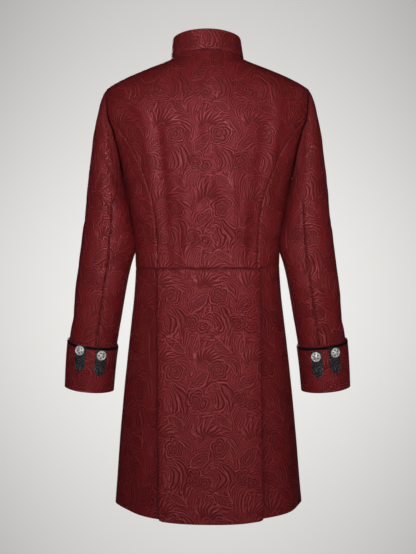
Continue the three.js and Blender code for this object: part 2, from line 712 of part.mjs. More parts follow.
function sleeve(side, word) {
  const topEdges = (along) => [frontSeamTurn - 2 * Math.PI, backSeamTurn(along)];
  const underEdges = (along) => [backSeamTurn(along), frontSeamTurn];
  const parts = [
    sleevePanel(`sleeve_top_${word}`, side, 15, topEdges),
    sleevePanel(`sleeve_under_${word}`, side, 8, underEdges),
    cuffSolid(`cuff_${word}`, side),
    cuffPiping(`cuff_piping_${word}`, side),
  ];
  for (const [place, tab] of Object.entries(tabs[word])) {
    parts.push(cuffTab(`tab_${place}_${word}`, side, tab));
    parts.push(cuffButton(`button_${place}_${word}`, side, tab));
  }
  return parts;
}

// The front fastens with a row of the same buttons, from the collar to the waist.
function frontButtons() {
  const topZ = -96;
  return Array.from({ length: frontButtonCount }, (_, i) => {
    const z = topZ - i * frontButtonSpacing;
    const outward = bodyNormal(Math.PI, z);
    const centre = bodyPoint(Math.PI, z, lapLift(Math.PI, z)).addScaledVector(outward, 0.5 * seamGap);
    return buttonMesh(`button_front_${i + 1}`, centre, outward);
  });
}

const coat = new THREE.Group();
coat.add(...bodice(), ...skirt(), collarSolid());
coat.add(...sleeve(1, 'left'), ...sleeve(-1, 'right'), ...frontButtons());

export default coat;
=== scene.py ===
# A knee-length brocade costume coat, filled out as on a wearer who isn't there, seen from behind.
# The cut is worked out in millimetres and every mesh is made in metres. The wearer faces -Y, so the
# back of the coat is +Y, and +X is the wearer's left.
import math
import bpy
import numpy as np
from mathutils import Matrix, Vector


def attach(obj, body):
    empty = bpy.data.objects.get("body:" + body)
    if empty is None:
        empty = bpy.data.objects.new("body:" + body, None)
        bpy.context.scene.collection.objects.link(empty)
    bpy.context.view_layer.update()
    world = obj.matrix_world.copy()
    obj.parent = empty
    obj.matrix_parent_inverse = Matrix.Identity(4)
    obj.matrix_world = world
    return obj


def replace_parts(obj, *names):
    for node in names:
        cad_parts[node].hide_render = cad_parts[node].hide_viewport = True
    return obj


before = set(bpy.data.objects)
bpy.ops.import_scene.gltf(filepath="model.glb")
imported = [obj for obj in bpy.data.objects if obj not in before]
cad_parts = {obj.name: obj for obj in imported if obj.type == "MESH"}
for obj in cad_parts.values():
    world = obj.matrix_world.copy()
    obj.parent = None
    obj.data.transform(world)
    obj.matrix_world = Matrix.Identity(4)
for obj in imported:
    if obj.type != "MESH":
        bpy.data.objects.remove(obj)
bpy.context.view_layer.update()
mm = 0.001
quarter = math.pi / 2
wholeTurn = 2 * math.pi

# The camera stands where the photograph's did: level with the middle of the coat, 3 m behind it.
photoView = {
    "height": 554,
    "middleColumn": 208,
    "coatColumn": 207.5,
    "mmPerPixel": 2.1,
    "middleZ": -456,
    "distance": 3000,
    "sensor": 36,
}


def makeCamera():
    lens = bpy.data.cameras.new("photoLens")
    lens.sensor_width = photoView["sensor"]
    lens.lens = photoView["sensor"] * photoView["distance"] / photoView["mmPerPixel"] / photoView["height"]
    camera = bpy.data.objects.new("photoCamera", lens)
    offCentre = (photoView["coatColumn"] - photoView["middleColumn"]) * photoView["mmPerPixel"]
    camera.location = (offCentre * mm, photoView["distance"] * mm, photoView["middleZ"] * mm)
    camera.rotation_euler = (quarter, 0, math.pi)
    bpy.context.collection.objects.link(camera)
    bpy.context.scene.camera = camera


makeCamera()
print("stage: camera")


# Sets a node's sockets, by name or by number, each to a value or to what another node gives.
def plug(tree, node, inputs):
    for name, value in inputs.items():
        socket = node.inputs[name]
        value = value.socket if isinstance(value, Wire) else value
        if isinstance(value, bpy.types.NodeSocket):
            tree.links.new(value, socket)
        elif isinstance(value, tuple) and socket.type == "RGBA":
            socket.default_value = (*value, 1)
        else:
            socket.default_value = value


def addNode(tree, kind, inputs=None, **settings):
    node = tree.nodes.new(kind)
    for name, value in settings.items():
        setattr(node, name, value)
    plug(tree, node, inputs or {})
    return node


# A value in a shader tree, so that a pattern reads as sums and products.
class Wire:
    def __init__(self, tree, socket):
        self.tree = tree
        self.socket = socket

    def math(self, operation, *others):
        inputs = dict(enumerate((self, *others)))
        return Wire(self.tree, addNode(self.tree, "ShaderNodeMath", inputs, operation=operation).outputs[0])

    def __add__(self, other):
        return self.math("ADD", other)

    def __sub__(self, other):
        return self.math("SUBTRACT", other)

    def __mul__(self, other):
        return self.math("MULTIPLY", other)

    def __truediv__(self, other):
        return self.math("DIVIDE", other)

    def __neg__(self):
        return self.math("MULTIPLY", -1)

    def wave(self, length):
        return (self * (wholeTurn / length)).math("COSINE")

    def rising(self, low, high):
        inputs = {"Value": self, "From Min": min(low, high), "From Max": max(low, high)}
        inputs.update({"To Min": int(low > high), "To Max": int(low < high)})
        node = addNode(self.tree, "ShaderNodeMapRange", inputs, interpolation_type="SMOOTHSTEP")
        return Wire(self.tree, node.outputs["Result"])


def splitVector(tree, socket):
    return [Wire(tree, output) for output in addNode(tree, "ShaderNodeSeparateXYZ", {0: socket}).outputs]


def noiseOf(tree, vector, scale, detail, roughness=0.5):
    inputs = {"Vector": vector, "Scale": scale, "Detail": detail, "Roughness": roughness}
    return addNode(tree, "ShaderNodeTexNoise", inputs).outputs


# One repeat of the woven pattern, in mm, with the cloth's own up: fans of leaves, lobed flowers, arched
# plumes and ribbed leaves. A motif is a field that is negative inside, filled with its own stripes.
brocadeRepeat = {
    "width": 93,
    "height": 153,
    "line": 4.8,  # from one line of the weave to the next
    "wander": 27,  # how far the lines drift, and how quickly
    "wanderScale": 22,
    "echoes": 3.4,  # lines outside a motif that repeat its outline
    "echoDepth": 0.75,
    "echoRidge": 0.55,
    "leafRibSlant": 0.9,
    "lobeRoundness": 0.7,
    "flowerRing": 1.25,
    "fanCore": 10,
    "fanShare": 0.55,
    "fanDepth": 0.7,
    "leaves": [
        {"at": (-12, -31), "turn": 44, "half": 28, "wide": 10.5},
        {"at": (31, 41), "turn": -38, "half": 25, "wide": 9},
        {"at": (3, -45), "turn": 52, "half": 13, "wide": 4},
        {"at": (-20, 40), "turn": 68, "half": 19, "wide": 5.5},
    ],
    "plumes": [
        {"at": (31, -20), "radius": 30, "turn": 42, "half": 24, "wide": 5.5},
        {"at": (6, -72), "radius": 25, "turn": 5, "half": 34, "wide": 7.5},
        {"at": (8, -72), "radius": 41, "turn": 15, "half": 38, "wide": 8.5},
        {"at": (-22, 47), "radius": 24, "turn": 150, "half": 24, "wide": 5},
    ],
    "fans": [
        {"at": (0, 0), "length": 50, "leaf": 3.6, "step": 17, "lean": 12, "reach": 62, "curl": 9},
        {"at": (20, 50), "length": 28, "leaf": 2.8, "step": 21, "lean": 10, "reach": 52, "curl": -14},
    ],
    "flowers": [
        {"at": (-4, -78), "radius": 18, "lobes": 7, "turn": 0, "depth": 0.18},
        {"at": (27, -11), "radius": 21, "lobes": 5, "turn": 20, "depth": 0.30},
        {"at": (-25, -68), "radius": 20, "lobes": 5, "turn": 200, "depth": 0.34},
    ],
}


def brocadeGroup():
    repeat = brocadeRepeat
    tree = bpy.data.node_groups.new("brocadeWeave", "ShaderNodeTree")
    tree.interface.new_socket("Cut", in_out="INPUT", socket_type="NodeSocketVector")
    for name in ("Groove", "Motif", "Ridge"):
        tree.interface.new_socket(name, in_out="OUTPUT", socket_type="NodeSocketFloat")
    cut = tree.nodes.new("NodeGroupInput").outputs["Cut"]
    width, height, line = repeat["width"], repeat["height"], repeat["line"]
    drift = splitVector(tree, noiseOf(tree, cut, repeat["wanderScale"], 2)["Color"])
    along, up, _ = splitVector(tree, cut)
    along = along * (1 / mm) + (drift[0] - 0.5) * repeat["wander"]
    up = up * (1 / mm) + (drift[1] - 0.5) * repeat["wander"]
    laid = []

    def around(place):
        x = (along - place[0]).math("WRAP", width / 2, -width / 2)
        y = (up - place[1]).math("WRAP", height / 2, -height / 2)
        return x, y, (x * x + y * y).math("SQRT")

    def lay(field, stripes):
        inside = field.rising(0.5, -0.5)
        value = stripes * field.math("ABSOLUTE").rising(0.3, 1.1) * inside
        if laid:
            laid[:] = [laid[0] * (-inside + 1) + value, laid[1].math("MINIMUM", field)]
        else:
            laid.extend([value, field])

    for row in repeat["leaves"]:
        x, y, _ = around(row["at"])
        c, s = math.cos(math.radians(row["turn"])), math.sin(math.radians(row["turn"]))
        down = x * c + y * s
        across = (y * c - x * s).math("ABSOLUTE")
        share = down / row["half"]
        ribs = (down - across * repeat["leafRibSlant"]).wave(line).rising(-0.3, 0.7)
        lay(across - (-(share * share) + 1) * row["wide"], ribs * across.rising(0.3, 1.3))

    for row in repeat["plumes"]:
        x, y, radius = around(row["at"])
        turn = (y.math("ARCTAN2", x) - math.radians(row["turn"])).math("WRAP", math.pi, -math.pi)
        share = turn * (row["radius"] / row["half"])
        wide = (-(share * share) + 1) * row["wide"]
        across = radius - row["radius"]
        lines = (across / wide.math("MAXIMUM", 0.5)).wave(2 * line / row["wide"])
        lay(across.math("ABSOLUTE") - wide, lines.rising(0.5, -0.5))

    for row in repeat["fans"]:
        x, y, radius = around(row["at"])
        turn = x.math("ARCTAN2", y) - radius * (math.radians(row["curl"]) / 10) + math.radians(row["lean"])
        turn = turn.math("WRAP", math.pi, -math.pi)
        step = math.radians(row["step"])
        which = (turn / step).math("ROUND")
        share = (radius + which.math("ABSOLUTE") * 1.5) / row["length"]
        wide = (share - share * share) * (4 * row["leaf"])
        across = ((turn - which * step) * radius).math("ABSOLUTE")
        past = (turn.math("ABSOLUTE") - math.radians(row["reach"])).math("MAXIMUM", 0) * radius
        hollow = (-radius + repeat["fanCore"]).math("MAXIMUM", 0)
        groove = (across - wide * repeat["fanShare"]).rising(0.6, -0.6)
        lay(across - wide + past + hollow, groove * repeat["fanDepth"])

    for row in repeat["flowers"]:
        x, y, radius = around(row["at"])
        turn = y.math("ARCTAN2", x) - math.radians(row["turn"])
        lobe = (turn * (row["lobes"] / 2)).math("COSINE").math("ABSOLUTE")
        lobe = lobe.math("POWER", repeat["lobeRoundness"])
        edge = (lobe * row["depth"] + (1 - row["depth"])) * row["radius"]
        rings = (radius / edge).wave(line * repeat["flowerRing"] / row["radius"])
        lay(radius - edge, rings.rising(-0.2, 0.6))

    shade, near = laid
    ripple, reach = near.wave(line), line * repeat["echoes"]
    echo = ripple.rising(0.2, -0.8) * near.rising(reach, 0) * near.rising(0.3, 1.0)
    outline = near.math("ABSOLUTE").rising(2.0, 0.3)
    between = ripple.rising(0.1, 1.0) * near.rising(reach, line * 0.5)
    # Groove and Ridge are the sunken and raised lines; the material uses them for relief and for colour,
    # where the colour is partly painted shade and a painted sheen highlight.
    found = {
        "Groove": shade.math("MAXIMUM", echo * repeat["echoDepth"]),
        "Motif": near.rising(1.0, -1.0),
        "Ridge": outline.math("MAXIMUM", between * repeat["echoRidge"]),
    }
    addNode(tree, "NodeGroupOutput", found)
    return tree


def newMaterial(name):
    material = bpy.data.materials.new(name)
    material.use_nodes = True
    tree = material.node_tree
    return material, tree, tree.nodes["Principled BSDF"]


def cutOf(tree):
    return addNode(tree, "ShaderNodeUVMap", uv_map="cut").outputs["UV"]


def placeOf(tree):
    return tree.nodes.new("ShaderNodeTexCoord").outputs["Object"]


def attributeOf(tree, name):
    return Wire(tree, addNode(tree, "ShaderNodeAttribute", attribute_name=name).outputs["Fac"])


def mixColours(tree, share, first, second):
    return addNode(tree, "ShaderNodeMix", {"Factor": share, 6: first, 7: second}, data_type="RGBA").outputs[2]


def bumpOf(tree, height, distance):
    inputs = {"Height": height, "Distance": distance, "Strength": 1}
    return addNode(tree, "ShaderNodeBump", inputs).outputs["Normal"]


# Reliefs are in metres, and scales and threads are a metre's.
brocadeFinish = {
    "ground": (0.153, 0.0064, 0.0074),
    # groove is the colour of the sunken lines of the weave: partly the pattern's own, and partly painted
    # shade in them.
    "groove": (0.064, 0.0021, 0.0025),
    "motif": (0.140, 0.0058, 0.0068),
    # ridge is the colour of the raised lines: partly the pattern's own, and partly a painted sheen highlight
    # in its paler pink.
    "ridge": (0.240, 0.0260, 0.0280),
    # seam is the colour of a painted shade, laid along seams, along the centre panel's folded edges and
    # beside them on the side panels.
    "seam": (0.016, 0.0010, 0.0014),
    "wrongSide": (0.060, 0.006, 0.007),
    "sheen": (1.0, 0.36, 0.41),
    "specular": 0.95,
    "roughness": {"ground": 0.46, "groove": 0.33, "ridge": -0.14, "motif": -0.03, "mottle": 0.12},
    "mottle": {"scale": 45, "groove": (0.5, 0.6), "ridge": 1.3},
    "relief": 0.0006,
    "reliefShares": {"threads": 0.06, "ridge": 0.5},
    "threads": 1500,
}


def brocadeMaterial(weave):
    material, tree, shader = newMaterial("redBrocade")
    finish, mottling, rough = brocadeFinish, brocadeFinish["mottle"], brocadeFinish["roughness"]
    cut = cutOf(tree)
    group = addNode(tree, "ShaderNodeGroup", {"Cut": cut}, node_tree=weave)
    groove, motif, ridge = [Wire(tree, output) for output in group.outputs]
    mottle = Wire(tree, noiseOf(tree, cut, mottling["scale"], 3)["Fac"])
    threads = wholeTurn * finish["threads"]
    warp, weft = [(part * threads).math("SINE") for part in splitVector(tree, cut)[:2]]
    gain, base = mottling["groove"]
    colour = mixColours(tree, motif, finish["ground"], finish["motif"])
    # The sunken lines darken, partly as the pattern's colour and partly as painted shade in them.
    colour = mixColours(tree, groove * (mottle * gain + base), colour, finish["groove"])
    # The raised lines are paler and pinker, partly as the pattern's colour and partly as a painted sheen
    # highlight.
    colour = mixColours(tree, ridge * (mottle * mottling["ridge"]), colour, finish["ridge"])
    # Painted shade: the colour darkens towards the seam colour along seams, folds and panel edges.
    colour = mixColours(tree, attributeOf(tree, "paintedShade"), colour, finish["seam"])
    roughness = groove * rough["groove"] + ridge * rough["ridge"] + motif * rough["motif"]
    roughness = roughness + mottle * rough["mottle"] + rough["ground"]
    shares = finish["reliefShares"]
    height = warp * weft * shares["threads"] - groove + ridge * shares["ridge"]
    inputs = {
        "Base Color": mixColours(tree, attributeOf(tree, "wrongSide"), colour, finish["wrongSide"]),
        "Roughness": roughness,
        "Specular IOR Level": finish["specular"],
        "Specular Tint": finish["sheen"],
        "Normal": bumpOf(tree, height, finish["relief"]),
    }
    plug(tree, shader, inputs)
    return material


pipingFinish = {
    "colour": (0.003, 0.0022, 0.0024),
    "roughness": 0.6,
    "specular": 0.2,
    "twists": 420,
    "slant": 1.6,
    "relief": 0.0002,
}


def pipingMaterial():
    material, tree, shader = newMaterial("blackPiping")
    x, y, _ = splitVector(tree, cutOf(tree))
    twist = ((x + y * pipingFinish["slant"]) * (wholeTurn * pipingFinish["twists"])).math("SINE")
    inputs = {
        "Base Color": pipingFinish["colour"],
        "Roughness": pipingFinish["roughness"],
        "Specular IOR Level": pipingFinish["specular"],
        "Normal": bumpOf(tree, twist, pipingFinish["relief"]),
    }
    plug(tree, shader, inputs)
    return material


tabFinish = {
    "dark": (0.003, 0.0035, 0.0036),
    "light": (0.075, 0.082, 0.084),
    "blotch": 300,
    "nap": 1400,
    "roughness": {"ground": 0.55, "blotch": -0.12, "nap": 0.15},
    "relief": 0.0004,
    "reliefShares": {"blotch": 0.6, "nap": 0.5},
}


def tabMaterial():
    material, tree, shader = newMaterial("charcoalTab")
    rough, shares = tabFinish["roughness"], tabFinish["reliefShares"]
    cut = cutOf(tree)
    blotch = Wire(tree, noiseOf(tree, cut, tabFinish["blotch"], 3, 0.6)["Fac"]).rising(0.5, 0.62)
    nap = Wire(tree, noiseOf(tree, cut, tabFinish["nap"], 2)["Fac"])
    inputs = {
        "Base Color": mixColours(tree, blotch, tabFinish["dark"], tabFinish["light"]),
        "Roughness": blotch * rough["blotch"] + nap * rough["nap"] + rough["ground"],
        "Normal": bumpOf(tree, blotch * shares["blotch"] + nap * shares["nap"], tabFinish["relief"]),
    }
    plug(tree, shader, inputs)
    return material


metalFinish = {
    "bright": (0.97, 0.95, 0.91),
    "dark": (0.020, 0.018, 0.017),
    "metallic": 0.75,
    "roughness": {"ground": 0.42, "dark": 0.3, "grain": 0.12},
    "grain": 900,
    "relief": 0.0001,
}


def silverMaterial():
    material, tree, shader = newMaterial("antiqueSilver")
    rough = metalFinish["roughness"]
    grain = Wire(tree, noiseOf(tree, placeOf(tree), metalFinish["grain"], 3)["Fac"])
    dark = (attributeOf(tree, "patina") + (grain - 0.5) * 0.25).rising(0.36, 1.0)
    inputs = {
        "Base Color": mixColours(tree, dark, metalFinish["bright"], metalFinish["dark"]),
        "Metallic": metalFinish["metallic"],
        "Roughness": dark * rough["dark"] + grain * rough["grain"] + rough["ground"],
        "Normal": bumpOf(tree, grain, metalFinish["relief"]),
    }
    plug(tree, shader, inputs)
    return material


threadFinish = {
    "red": (0.16, 0.014, 0.016),
    "black": (0.008, 0.008, 0.009),
    "lighter": 2.2,
    "fibre": 2500,
    "roughness": 0.5,
}


def threadMaterial(name, colour):
    material, tree, shader = newMaterial(name)
    fibre = Wire(tree, noiseOf(tree, placeOf(tree), threadFinish["fibre"], 2)["Fac"])
    pale = tuple(threadFinish["lighter"] * c for c in colour)
    base = mixColours(tree, fibre, colour, pale)
    plug(tree, shader, {"Base Color": base, "Roughness": threadFinish["roughness"]})
    return material


redBrocade = brocadeMaterial(brocadeGroup())
blackPiping = pipingMaterial()
charcoalTab = tabMaterial()
antiqueSilver = silverMaterial()
redThread = threadMaterial("redThread", threadFinish["red"])
blackThread = threadMaterial("blackThread", threadFinish["black"])
print("stage: materials")


# The cut of the coat, the same as the solids'. Every table runs from the foot up.
cutSizes = {
    "wall": 1.8,
    "seamGap": 0.1,
    "shoulderZ": -66,
    "underarmZ": -250,
    "waistZ": -440,
    "waistRise": {"left": 2, "right": 8, "reach": 46},
    "creaseScale": 1.55,
    "unevenness": 0.7,
    "sideHemZ": -924,
    "backHemExtra": 22,
    "backHemCurve": 2.5,
    "hemLean": 4,
    "neckHalfWidth": 76,
    "neckFrontReach": 74,
    "neckFrontZ": -69,
    "napeRise": 14,
    "armholeBackReach": 38,
    "armholeFrontReach": 48,
    "frontLap": 20,
    "lapLift": 2.6,
    "princessTop": 124,
    "princessBend": 2.7,
    "panelHalfWidth": 103,
    "pleatReturn": 19,
    "panelLean": (2, 3),
    "gridStep": 4.5,
}
bodyColumns = ("z", "half", "back", "front", "square")
bodySections = [
    (-950, 196, 163, 160, 2.25),
    (-882, 190, 157, 154, 2.25),
    (-798, 184, 150, 148, 2.25),
    (-714, 177, 143, 142, 2.25),
    (-630, 169, 135, 135, 2.25),
    (-546, 160, 124, 127, 2.28),
    (-490, 154, 111, 119, 2.3),
    (-440, 150.5, 101, 113, 2.3),
    (-405, 151.5, 101, 113, 2.3),
    (-360, 156, 106, 116, 2.3),
    (-300, 166, 114, 120, 2.28),
    (-240, 178.5, 119, 121, 2.25),
    (-200, 190, 119, 117, 2.15),
    (-160, 204, 117, 109, 2.05),
    (-120, 217, 113, 96, 2),
    (-90, 217.5, 107, 83, 2),
    (-66, 214, 101, 73, 2),
    (-58, 205, 98, 69, 2),
    (-42, 176, 92, 62, 2),
    (-23, 132, 84, 56, 2),
    (-4, 83, 75, 50, 2),
    (0, 76, 73, 47, 2),
    (16, 75, 66, 45, 2),
]
sleeveColumns = ("z", "x", "y", "outer", "inner", "back", "front", "roll", "pitch")
sleeveSections = [
    (-690, 250.5, -30, 49.5, 49.5, 44, 43, 5, 9),
    (-600, 242, -16, 50, 50, 45, 44, 5, 9),
    (-546, 233.5, -8, 51, 51, 47, 46, 6, 8),
    (-462, 221, 1, 53, 53.5, 51, 50, 7, 5),
    (-412, 213.5, 3, 54.5, 57, 54, 54, 7, 2),
    (-386, 211.5, 3, 53, 58, 55, 56, 6, 1),
    (-350, 211, 3, 49.5, 52, 57, 59, 5, 0),
    (-300, 211.5, 2, 42, 44.2, 60, 62, 4, 2),
]

# Creases, each a soft trough or ridge along a line on the cloth: the x and z of its two ends, its reach
# and its depth. A negative depth stands out.
backCreases = [
    (106, -125, 80, -436, 13, 4.8),
    (134, -100, 108, -300, 13, -1.5),
    (61, -137, 36, -222, 9, 2.5),
    (22, -112, 3, -172, 10, 2.2),
    (-12, -195, -28, -247, 9, 2.1),
    (-6, -258, -14, -312, 9, 1.9),
    (-2, -150, -8, -438, 16, 2.6),
    (-48, -220, -56, -438, 16, -2.4),
    (-146, -84, -128, -260, 12, -3.6),
    (-118, -150, -92, -420, 12, 2.8),
    (46, -250, 38, -436, 12, -1.8),
    (20, -300, 24, -438, 9, 1.6),
    (-30, -330, -34, -438, 8, 1.5),
    (-76, -300, -70, -436, 9, -1.6),
    (64, -340, 58, -437, 8, 1.7),
    (-16, -90, -4, -170, 16, 1.8),
    (30, -96, 18, -150, 13, -1.4),
    (150, -160, 126, -215, 9, 1.6),
    (-162, -150, -140, -230, 8, 1.4),
    (150, -250, 122, -300, 10, 2.2),
    (158, -290, 128, -352, 9, -1.6),
    (146, -360, 112, -398, 9, 1.8),
    (-152, -260, -124, -316, 10, 2.1),
    (-156, -330, -118, -384, 10, -1.7),
    (-144, -392, -114, -418, 8, 1.6),
]
frontCreases = [
    (96, -150, 66, -438, 16, 2.8),
    (-92, -170, -70, -438, 15, 3.2),
    (150, -190, 96, -230, 13, 2.2),
    (-148, -196, -104, -242, 12, 2.0),
    (138, -330, 92, -380, 12, 1.7),
    (-140, -344, -86, -404, 13, 1.9),
    (34, -300, 38, -436, 10, 1.4),
    (-40, -310, -36, -436, 10, 1.5),
]


# A smooth curve through one column of a table, which never overshoots its rows.
def readTable(rows, columns, name, z):
    table = np.array(rows, float)
    heights, values = table[:, 0], table[:, columns.index(name)]
    rise = np.diff(values) / np.diff(heights)
    slope = np.concatenate([rise[:1], np.zeros(len(rise) - 1), rise[-1:]])
    for k in range(1, len(rise)):
        if rise[k - 1] * rise[k] > 0:
            slope[k] = 2 * rise[k - 1] * rise[k] / (rise[k - 1] + rise[k])
    z = np.clip(z, heights[0], heights[-1])
    i = np.clip(np.searchsorted(heights, z, side="right") - 1, 0, len(rise) - 1)
    span = heights[i + 1] - heights[i]
    t = (z - heights[i]) / span
    return curve(values[i], slope[i] * span, values[i + 1], slope[i + 1] * span, t)


# Hermite's curve between two values, with the slopes at both.
def curve(start, leave, end, arrive, t):
    rest = 1 - t
    near = start * (1 + 2 * t) * rest**2 + leave * t * rest**2
    return near + end * t**2 * (3 - 2 * t) + arrive * t**2 * (t - 1)


def section(z):
    return [readTable(bodySections, bodyColumns, name, z) for name in bodyColumns[1:]]


def rising(value, low, high):
    t = np.clip((value - low) / (high - low), 0, 1)
    return t * t * (3 - 2 * t)


def mixed(first, second, share):
    return first + (second - first) * share


def creaseDepth(creases, x, z):
    depth = np.zeros(np.broadcast(x, z).shape)
    for x0, z0, x1, z1, reach, deep in creases:
        run = (x1 - x0) ** 2 + (z1 - z0) ** 2
        t = np.clip(((x - x0) * (x1 - x0) + (z - z0) * (z1 - z0)) / run, 0, 1)
        away = (x - x0 - t * (x1 - x0)) ** 2 + (z - z0 - t * (z1 - z0)) ** 2
        depth += deep * (0.25 + 0.75 * np.sin(math.pi * (0.12 + 0.8 * t))) * np.exp(-away / reach**2)
    return depth


# Slow unevenness of hanging cloth: lengths and heights of its waves in mm.
clothWaves = ((140, 0.7), (83, 0.45), (51, 0.28), (29, 0.14))


def unevenness(x, z, seed):
    total = 0
    for k, (size, height) in enumerate(clothWaves):
        a = seed * 1.7 + k * 2.3
        total = total + height * np.sin(x / size * 6.283 + a) * np.cos(z / size * 4.9 + 1.3 * a)
    return total


# The plain outline of a section: x across and y towards the back.
def outline(turn, shape):
    half, back, front, square = shape
    sin, cos = np.sin(turn), np.cos(turn)
    x = half * np.sign(sin) * np.abs(sin) ** (2 / square)
    y = np.where(cos > 0, back, front) * np.sign(cos) * np.abs(cos) ** (2 / square)
    return x, y


def bodyPoint(turn, z, lift=0):
    shape = section(z)
    x, y = outline(turn, shape)
    cos, waist = np.cos(turn), cutSizes["waistZ"]
    folds = np.where(cos > 0, creaseDepth(backCreases, x, z), creaseDepth(frontCreases, x, z))
    folds *= cutSizes["creaseScale"] * rising(z, waist - 12, waist + 4)
    out = lift + (unevenness(x, z, 1.0) * cutSizes["unevenness"] - folds) * np.abs(cos) ** 0.5
    grow = 1 + out / np.hypot(x, y)
    sides = cutSizes["waistRise"]
    rise = np.where(x > 0, sides["left"], sides["right"]) * rising(np.abs(x) / shape[0], 0.62, 1.0)
    return np.stack([x * grow, y * grow, z + rise * np.exp(-(((z - waist) / sides["reach"]) ** 2))], -1)


def turnAtX(x, z, face):
    half, _, _, square = section(z)
    turn = math.asin(min(1, abs(x) / half) ** (square / 2))
    return math.copysign(turn if face > 0 else math.pi - turn, x)


def turnAtY(y, z):
    _, back, front, square = section(z)
    turn = math.acos(min(1, abs(y) / (back if y > 0 else front)) ** (square / 2))
    return turn if y > 0 else math.pi - turn


# Columns or rows across a piece, closer together beside its edges.
def spread(length, step):
    near = [0, 0.6, 1.3, 2.2, 3.4, 5]
    middle = max(2, round((length - 2 * near[-1]) / step))
    inner = np.linspace(near[-1], length - near[-1], middle + 1)[1:-1]
    return np.concatenate([near, inner, length - np.array(near[::-1])]) / length


def lengthsAlong(points):
    return np.concatenate([[0], np.cumsum(np.linalg.norm(np.diff(points, axis=0), axis=1))])


def directions(face, ring=False):
    across = np.roll(face, -1, 1) - np.roll(face, 1, 1) if ring else np.gradient(face, axis=1)
    normal = np.cross(across, np.gradient(face, axis=0))
    return normal / np.maximum(np.linalg.norm(normal, axis=2, keepdims=True), 1e-9)


def outwardSign(normal, face, inside):
    return 1 if np.sum(normal[..., :2] * (face - inside)[..., :2]) > 0 else -1


# The cloth rolls down into each seam by a depth in mm, and is drawn in beside it by its stitches.
# line and shade are the width in mm and the strength of a painted shade: a dark line of colour along each
# seam, where shade would fall in its groove.
seamRoll = {
    "width": 2.8,
    "pull": 0.34,
    "reach": 10,
    "line": 1.9,
    "shade": 0.9,
    "edgeOn": 0.25,
    "pucker": (0.93, 1.7, 0.31),  # how fast it comes and goes, how much that wanders, and how fast
}


def rolled(face, seams, inside=0):
    rows, columns = face.shape[:2]
    across = np.linalg.norm(np.diff(face, axis=1), axis=2)
    along = np.linalg.norm(np.diff(face, axis=0), axis=2)
    fromLeft = np.concatenate([np.zeros((rows, 1)), np.cumsum(across, 1)], 1)
    fromTop = np.concatenate([np.zeros((1, columns)), np.cumsum(along, 0)], 0)
    distances = {
        "left": fromLeft,
        "right": fromLeft[:, -1:] - fromLeft,
        "top": fromTop,
        "foot": fromTop[-1:] - fromTop,
    }
    pace, wander, slow = seamRoll["pucker"]
    k = np.arange(max(rows, columns))
    pucker = 0.5 + 0.5 * np.sin(k * pace + wander * np.sin(k * slow))
    normal = directions(face)
    outward = outwardSign(normal, face, inside)
    turned = mixed(seamRoll["edgeOn"], 1, np.abs(normal[..., 1]))
    total = np.zeros((rows, columns))
    shade = np.zeros((rows, columns))
    for seam, depth in seams.items():
        distance = distances[seam]
        if seam in ("top", "foot"):
            pull = pucker[None, :columns]
        else:
            pull, depth = pucker[:rows, None], np.broadcast_to(depth, rows)[:, None]
        edge = np.exp(-((distance / seamRoll["width"]) ** 2))
        soft = seamRoll["pull"] * (0.25 + pull) * np.exp(-distance / seamRoll["reach"])
        total = np.maximum(total, (edge + soft) * depth * turned)
        # Painted shade: a dark line of colour along the seam, stronger at deeper seams.
        line = np.exp(-((distance / seamRoll["line"]) ** 2)) * (0.55 + 0.45 * pull)
        shade = np.maximum(shade, line * np.minimum(1, depth * 0.5) * seamRoll["shade"])
    return face - normal * outward * total[..., None], shade


def meshPiece(name, points, faces, material, cut=None, values=None):
    mesh = bpy.data.meshes.new(name)
    mesh.from_pydata((points * mm).tolist(), [], faces)
    mesh.polygons.foreach_set("use_smooth", [True] * len(mesh.polygons))
    if cut is not None:
        corners = np.empty(len(mesh.loops), int)
        mesh.loops.foreach_get("vertex_index", corners)
        mesh.uv_layers.new(name="cut").data.foreach_set("uv", (cut * mm)[corners].ravel())
    for title, column in (values or {}).items():
        mesh.attributes.new(title, "FLOAT", "POINT").data.foreach_set("value", column)
    mesh.materials.append(material)
    piece = bpy.data.objects.new(name, mesh)
    bpy.context.collection.objects.link(piece)
    return piece


# The rim goes round in a few steps, and stands out by a share of the wall.
rimSizes = {"steps": 3, "out": 0.42}


# How far and which way the rim stands out from the face at some of its points, across its edges.
def rimDirections(face, r, k, ring):
    rows, columns = face.shape[:2]
    sides = [(r == 0, 1, 0), (r == rows - 1, -1, 0)]
    if not ring:
        sides += [(k == 0, 0, 1), (k == columns - 1, 0, -1)]
    away = np.zeros((len(r), 3))
    for hit, down, beside in sides:
        inner = face[np.clip(r + down, 0, rows - 1), np.clip(k + beside, 0, columns - 1)]
        step = face[r, k] - inner
        away += np.where(hit[:, None], step / np.linalg.norm(step, axis=1, keepdims=True).clip(1e-9), 0)
    return away / np.linalg.norm(away, axis=1, keepdims=True).clip(1e-9)


